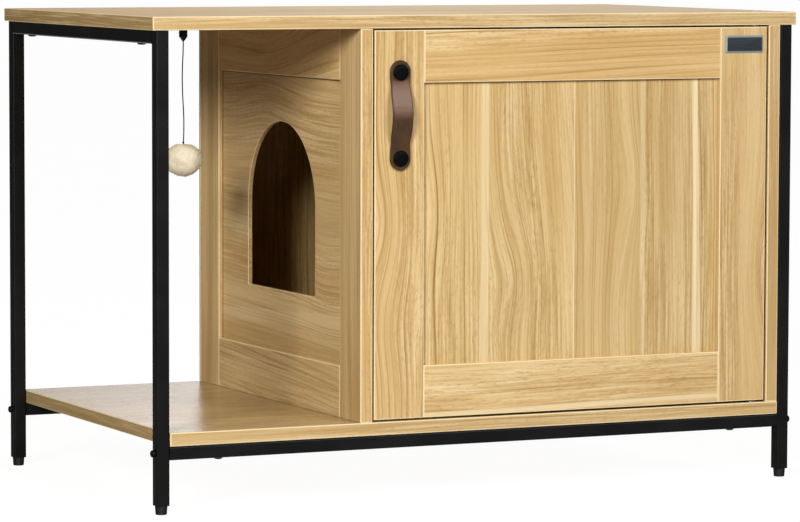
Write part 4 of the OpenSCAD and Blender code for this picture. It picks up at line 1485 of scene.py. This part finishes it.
@dataclass
class SideWall(FramedWall):
    """The wall between the open bay and the cabinet, with the arched entrance in its panel."""

    arch_width: float = 195 * MM
    sill: float = 220 * MM
    crown: float = 417 * MM
    arch_middle: float = 2 * MM
    arch_points: int = 120
    arris: float = 0.4 * MM
    arris_steps: int = 4
    soft: float = 1.0 * MM
    sink: float = 0.15 * MM
    under: float = 3 * MM
    beside: float = 6 * MM
    inner_tone: float = 1.12
    base: bool = True

    FIGURES = ({"offset": 0.2, "spacing": 4 * MM}, {"offset": -0.2, "spacing": 4 * MM},
               {"offset": 0.2, "tilt": 0.1, "spacing": 7 * MM, "contrast": 0.75, "shine": 0.1,
                "edge": tint(228, 202, 154), "swells": (Swell(0.5, 0.02, -0.02, 0.06, 0.12),)},
               {"offset": 0.2, "tilt": -0.05, "contrast": 0.7})
    SWELLS = (Swell(0.43, 0.045, 0.013, 0.08, 0.08), Swell(0.25, -0.13, -0.008, 0.07, 0.06))
    STREAKS = (Streak(0.31, 22 * MM, 0.1, 0.0, 14 * MM, 14 * MM),
               Streak(0.19, 9 * MM, 0.25, -0.05, 9 * MM, 4 * MM))

    def opening(self, angle: np.ndarray, grow: float) -> np.ndarray:
        """Distance from the arch's centre to its edge in each direction.

        Over the centre the edge is a half circle. Below, it is the nearer of the upright jamb, the
        half width over the cosine, and the level sill, the height of the centre over the sine.

        Args:
            angle: the directions, anticlockwise from level.
            grow: how much larger the opening is taken, all round.

        Returns:
            The distances.
        """
        half = self.arch_width / 2
        jamb = (half + grow) / np.maximum(np.abs(np.cos(angle)), TINY)
        level = (self.crown - half - self.sill + grow) / np.maximum(-np.sin(angle), TINY)
        return np.where(np.sin(angle) >= 0, half + grow, np.minimum(jamb, level))

    def arched(self, oak: Oak) -> None:
        """Makes the panel: a section that runs round the opening, out to the panel's rectangle.

        Args:
            oak: its laminate.
        """
        low, high = box_of(self.panel)
        half = self.arch_width / 2
        centre = np.array([self.arch_middle, self.crown - half])
        drop = centre[1] - self.sill
        corners = np.array([[y, z] for y in (low[1], high[1]) for z in (low[2], high[2])]) - centre
        exact = np.concatenate([np.arctan2(corners[:, 1], corners[:, 0]),
                                [math.atan2(-drop, -half), math.atan2(-drop, half)]])
        angle = np.unique(np.concatenate([np.linspace(-np.pi, np.pi, self.arch_points, endpoint=False),
                                          exact]))
        way = np.stack([np.cos(angle), np.sin(angle)], axis=1)
        room = np.where(way > 0, high[1:] - centre, low[1:] - centre)
        level = np.abs(way) < TINY
        rim = np.min(np.where(level, np.inf, room / np.where(level, 1.0, way)), axis=1)
        bend = np.linspace(0.0, np.pi / 2, self.arris_steps)
        rise, fall = self.arris * (1 - np.sin(bend)), self.arris * (1 - np.cos(bend))
        jamb = self.arris + FADE
        grow = np.concatenate([[jamb], rise, [0.0, 0.0], fall, [jamb]])
        across = np.concatenate([low[:1], low[:1], low[0] + fall, [low[0] + jamb, high[0] - jamb],
                                 high[0] - rise, high[:1], high[:1]])
        reach = np.stack([rim] + [self.opening(angle, g) for g in grow] + [rim])
        points = np.concatenate([np.broadcast_to(across[:, None, None], reach.shape + (1,)),
                                 centre + reach[..., None] * way], axis=-1)
        edge = np.ones(len(bend))
        wear_and_highlight = np.broadcast_to(np.pad(np.concatenate([edge, [0.0, 0.0], edge]), 2)[:, None], reach.shape)
        Shell().add_grid(points, wear_and_highlight, loop=True).settle("oak_" + self.panel, oak.material(), self.body,
                                                         "oak_panel", self.panel)

    def build(self) -> None:
        """Makes the frame and the arched panel."""
        self.members()
        self.arched(self.laminate(self.panel, self.panel_grain, 0.3, tilt=-0.02, contrast=0.65, tone=0.95,
                                  swells=self.SWELLS, streaks=self.STREAKS + self.seam_shadows()))


@dataclass
class Door(FramedWall):
    """The framed door, its panel and the blank plate on its hinge stile."""

    plate_bevel: float = 2 * MM
    plate_corner: float = 1.2 * MM
    # Painted shade: the door's outer edge bands are darkened, so that the gaps round the door read dark.
    outer_tone: float = 0.5

    FIGURES = ({"offset": 0.2, "contrast": 0.8,
                "swells": (Swell(-0.13, 0.31, 0.014, 0.025, 0.06), Swell(-0.12, 0.2, -0.008, 0.03, 0.06))},
               {"offset": -0.2, "tone": 0.96, "spacing": 8 * MM, "contrast": 1.2,
                "swells": (Swell(0.365, 0.24, -0.022, 0.03, 0.09),)},
               {"offset": 0.22, "tilt": -0.02, "taper": 1.5, "tone": 1.05, "contrast": 0.9},
               {"offset": -0.22, "tilt": -0.015, "taper": 1.5,
                "streaks": (Streak(0.096, 3 * MM, 0.6, 0.018, 4 * MM, 3 * MM),)})
    PLANKS = (Plank(0.0075, 0.03, -0.03, 0.055), Plank(0.06, 0.1, 0.02, -0.01, 0.25),
              Plank(0.1165, -0.175, -0.05, -0.045, -0.75), Plank(0.2, 0.045, -0.03, 0.0, 0.7))
    SWELLS = (Swell(0.04, 0.245, 0.014, 0.03, 0.055), Swell(0.03, 0.4, -0.006, 0.04, 0.08),
              Swell(0.188, 0.35, 0.012, 0.02, 0.06), Swell(0.17, 0.2, -0.008, 0.03, 0.08),
              Swell(-0.06, 0.33, 0.008, 0.02, 0.07))
    STREAKS = (Streak(0.0035, 7 * MM, 0.5, 0.0, 5 * MM, 0.5 * MM),
               Streak(0.116, 1.0 * MM, 0.6, 0.0, 0.5 * MM, 0.5 * MM),
               Streak(0.2045, 3 * MM, 0.35, 0.0, 4 * MM, 3 * MM),
               Streak(0.273, 3.5 * MM, 0.7, 0.0, 1.5 * MM, 1.5 * MM),
               Streak(0.282, 6 * MM, 0.6, -0.022, 2 * MM, 1.5 * MM))
    PLATE_STEPS = np.array([(0.1, 0.0), (0.0, 0.05), (0.0, 0.3), (0.1, 0.36), (0.92, 0.94), (1.0, 0.99),
                            (1.08, 1.0)])

    def flat_panel(self, oak: Oak) -> None:
        """Makes the door's panel, a thin board that runs into the grooves.

        Args:
            oak: its laminate.
        """
        points, wear_and_highlight = block(*box_of(self.panel), tuple(Axis), self.play)
        Shell().add_grid(points, wear_and_highlight, caps=True).settle("oak_" + self.panel, oak.material(), self.body,
                                                         "oak_panel", self.panel)

    def plate(self) -> None:
        """Makes the blank plate.

        Rounded rectangles step in by shares of the bevel and forward by shares of the thickness. All
        but the last are its bright rim.
        """
        low, high = box_of("blank_plate")
        flat, thick = [Axis.X.value, Axis.Z.value], high[1] - low[1]
        outline = Outline.of_box(low[flat], high[flat], self.plate_corner)
        inset, lift = self.PLATE_STEPS.T[:, :, None, None]
        middle, half = (low + high)[flat] / 2, (high - low)[flat] / 2
        rings = middle + (outline.core + outline.reach - middle) * (1 - inset * self.plate_bevel / half)
        forward = np.broadcast_to(high[1] - lift * thick, rings.shape[:2] + (1,))
        points = to_frame(np.concatenate([rings, forward], axis=-1), (Axis.X, Axis.Z, Axis.Y))
        wear_and_highlight = np.ones(rings.shape[:2])
        wear_and_highlight[-1] = 0.0
        metal = Anodised("plate_metal", tint(52, 60, 66), tint(160, 170, 178)).material()
        Shell().add_grid(points, wear_and_highlight, caps=True).settle("bevelled_plate", metal, self.body,
                                                         "plate_metal", "blank_plate", sharp=20.0)

    def build(self) -> None:
        """Makes the frame, the panel and the plate."""
        self.members()
        self.flat_panel(self.laminate(self.panel, self.panel_grain, -0.3, spacing=4.5 * MM,
                                      light=tint(230, 199, 143), warm=tint(212, 178, 119),
                                      planks=self.PLANKS, streaks=self.STREAKS + self.seam_shadows(),
                                      swells=self.SWELLS))
        self.plate()


@dataclass
class Handle:
    """The bowed leather strap and its two round caps."""

    end_radius: float = 12.5 * MM
    thick: float = 2.5 * MM
    span: float = 80 * MM
    waist: float = 0.8 * MM
    neck_place: float = 0.4
    neck_reach: float = 0.09
    rows: int = 121
    section_steps: int = 5
    section_round: float = 0.42
    # Where the strap's painted sheen ends, below the strap's top.
    sheen_below_top: float = 23 * MM
    cap_rim: float = 0.4
    cap_power: float = 0.55
    cap_soft: float = 0.3 * MM
    cap_steps: int = 12

    def strap(self, leather: bpy.types.Material) -> None:
        """Makes the strap: a flat section carried up a raised cosine.

        The strap's line stands off the door by half its gap times one plus the cosine of the height.
        Its width is full in the bow, drawn in beside each cap, and round at both ends.

        Args:
            leather: the strap's material.
        """
        low, high = box_of("handle_strap")
        middle, half = (low + high) / 2, (high[2] - low[2]) / 2
        gap, full = high[1] - low[1] - self.thick, self.end_radius
        height = half * np.sin(np.linspace(-np.pi / 2, np.pi / 2, self.rows))
        inside = np.abs(height) < self.span / 2
        wave = 2 * np.pi * height / self.span
        rise = np.where(inside, gap / 2 * (1 + np.cos(wave)), 0.0)
        slope = np.where(inside, -gap * np.pi / self.span * np.sin(wave), 0.0)
        norm = np.hypot(1.0, slope)
        past = np.clip(np.abs(height) - (half - full), 0.0, full)
        wide = np.sqrt(np.maximum(full**2 - past**2, 0.0))
        beside = (np.abs(height) - self.neck_place * self.span) / (self.neck_reach * self.span)
        wide = wide - self.waist * np.exp(-(beside**2))
        flat = Outline.of_box((-full, -self.thick / 2), (full, self.thick / 2),
                              self.section_round * self.thick, self.section_steps)
        section = flat.core + flat.reach
        x = middle[0] + section[None, :, 0] * (wide / full)[:, None]
        offset = section[None, :, 1]
        y = high[1] - (self.thick / 2 + rise)[:, None] + offset / norm[:, None]
        z = (middle[2] + height)[:, None] + offset * (slope / norm)[:, None]
        points = np.stack(np.broadcast_arrays(x, y, z), axis=-1)
        shell = Shell().add_grid(points, np.broadcast_to(flat.wear_and_highlight, points.shape[:2]), caps=True)
        shell.settle("leather_strap", leather, Body.DOOR, "strap_leather", "handle_strap")

    def caps(self, black: bpy.types.Material) -> None:
        """Makes the two caps, as one piece: a straight rim under a low dome.

        Args:
            black: the caps' material.
        """
        low, high = box_of("handle_caps")
        radius, depth = (high[0] - low[0]) / 2, high[1] - low[1]
        dome, rim = np.linspace(0.0, np.pi / 2, self.cap_steps), self.cap_rim * depth
        curve = np.stack([radius * np.cos(dome) ** self.cap_power,
                          rim + (depth - rim) * np.sin(dome)], axis=1)
        base = np.array([[0.0, 0.0], [radius - self.cap_soft, 0.0], [radius, self.cap_soft]])
        profile = np.concatenate([base, curve]) * (1.0, -1.0)
        shell = Shell()
        for z in (low[2] + radius, high[2] - radius):
            shell.add_grid(lathe(profile, ((low[0] + high[0]) / 2, high[1], z), Axis.Y))
        shell.settle("domed_handle_caps", black, Body.DOOR, "black_cap", "handle_caps")

    def build(self) -> None:
        """Makes the strap and the caps."""
        low, high = (corner[2] for corner in box_of("handle_strap"))
        self.strap(Leather("strap_leather", (low + high) / 2, high - self.sheen_below_top).material())
        self.caps(PowderCoat("cap_black", tint(3, 3, 3), 0.5, 0.08).material())


@dataclass
class SteelAndFittings:
    """What stays as the frame has it: the steel frame and all the fittings, each with its finish."""

    def build(self) -> None:
        """Gives every node that stays its material."""
        finishes = {
            PowderCoat("frame_black", tint(14, 14, 14), 0.45):
                "front_left_leg rear_left_leg front_right_leg rear_right_leg left_top_rail "
                "right_top_rail front_stretcher rear_stretcher",
            PowderCoat("screw_black", tint(9, 9, 9), 0.4, 0.12):
                "stretcher_bolts top_board_screws shelf_screws",
            Moulded("foot_plastic", tint(11, 11, 11), 0.55): "feet",
            Metal("zinc_plate", tint(196, 198, 202), 0.28):
                "stretcher_inserts back_panel_screws wall_base_screws handle_screws hinge_pins "
                "catch_pole_plates catch_screws strike_plate strike_screw toy_cap_stud",
            Metal("cam_zinc", tint(172, 174, 178), 0.36): "cam_bolts cam_locks",
            Oak("beech", Axis.Z, Axis.X, (0.0, 0.0), light=tint(226, 196, 150),
                warm=tint(214, 180, 132)): "wall_dowels",
            Moulded("white_plastic", tint(232, 232, 228), 0.4): "hinge_bushes catch_body",
            Moulded("magnet_ceramic", tint(66, 63, 62), 0.6): "catch_magnet",
        }
        for finish, nodes in finishes.items():
            material = finish.material()
            for node in nodes.split():
                paint(node, material)
            LOG.info("%s: %s", material.name, nodes)


def main() -> None:
    """Builds the studio and each sub-assembly."""
    logging.basicConfig(level=logging.INFO, format="%(message)s")
    wall = ("side_wall_front_stile", "side_wall_rear_stile", "side_wall_top_rail", "side_wall_bottom_rail")
    door = ("door_free_stile", "door_hinge_stile", "door_top_rail", "door_bottom_rail")
    Studio().build()
    HangingToy().build()
    Boards().build()
    SideWall(wall, "arched_panel", Axis.Y, Axis.Y, Body.CARCASS, 30.0).build()
    Door(door, "door_panel", Axis.X, Axis.Z, Body.DOOR, 80.0).build()
    Handle().build()
    SteelAndFittings().build()


if __name__ == "__main__":
    main()
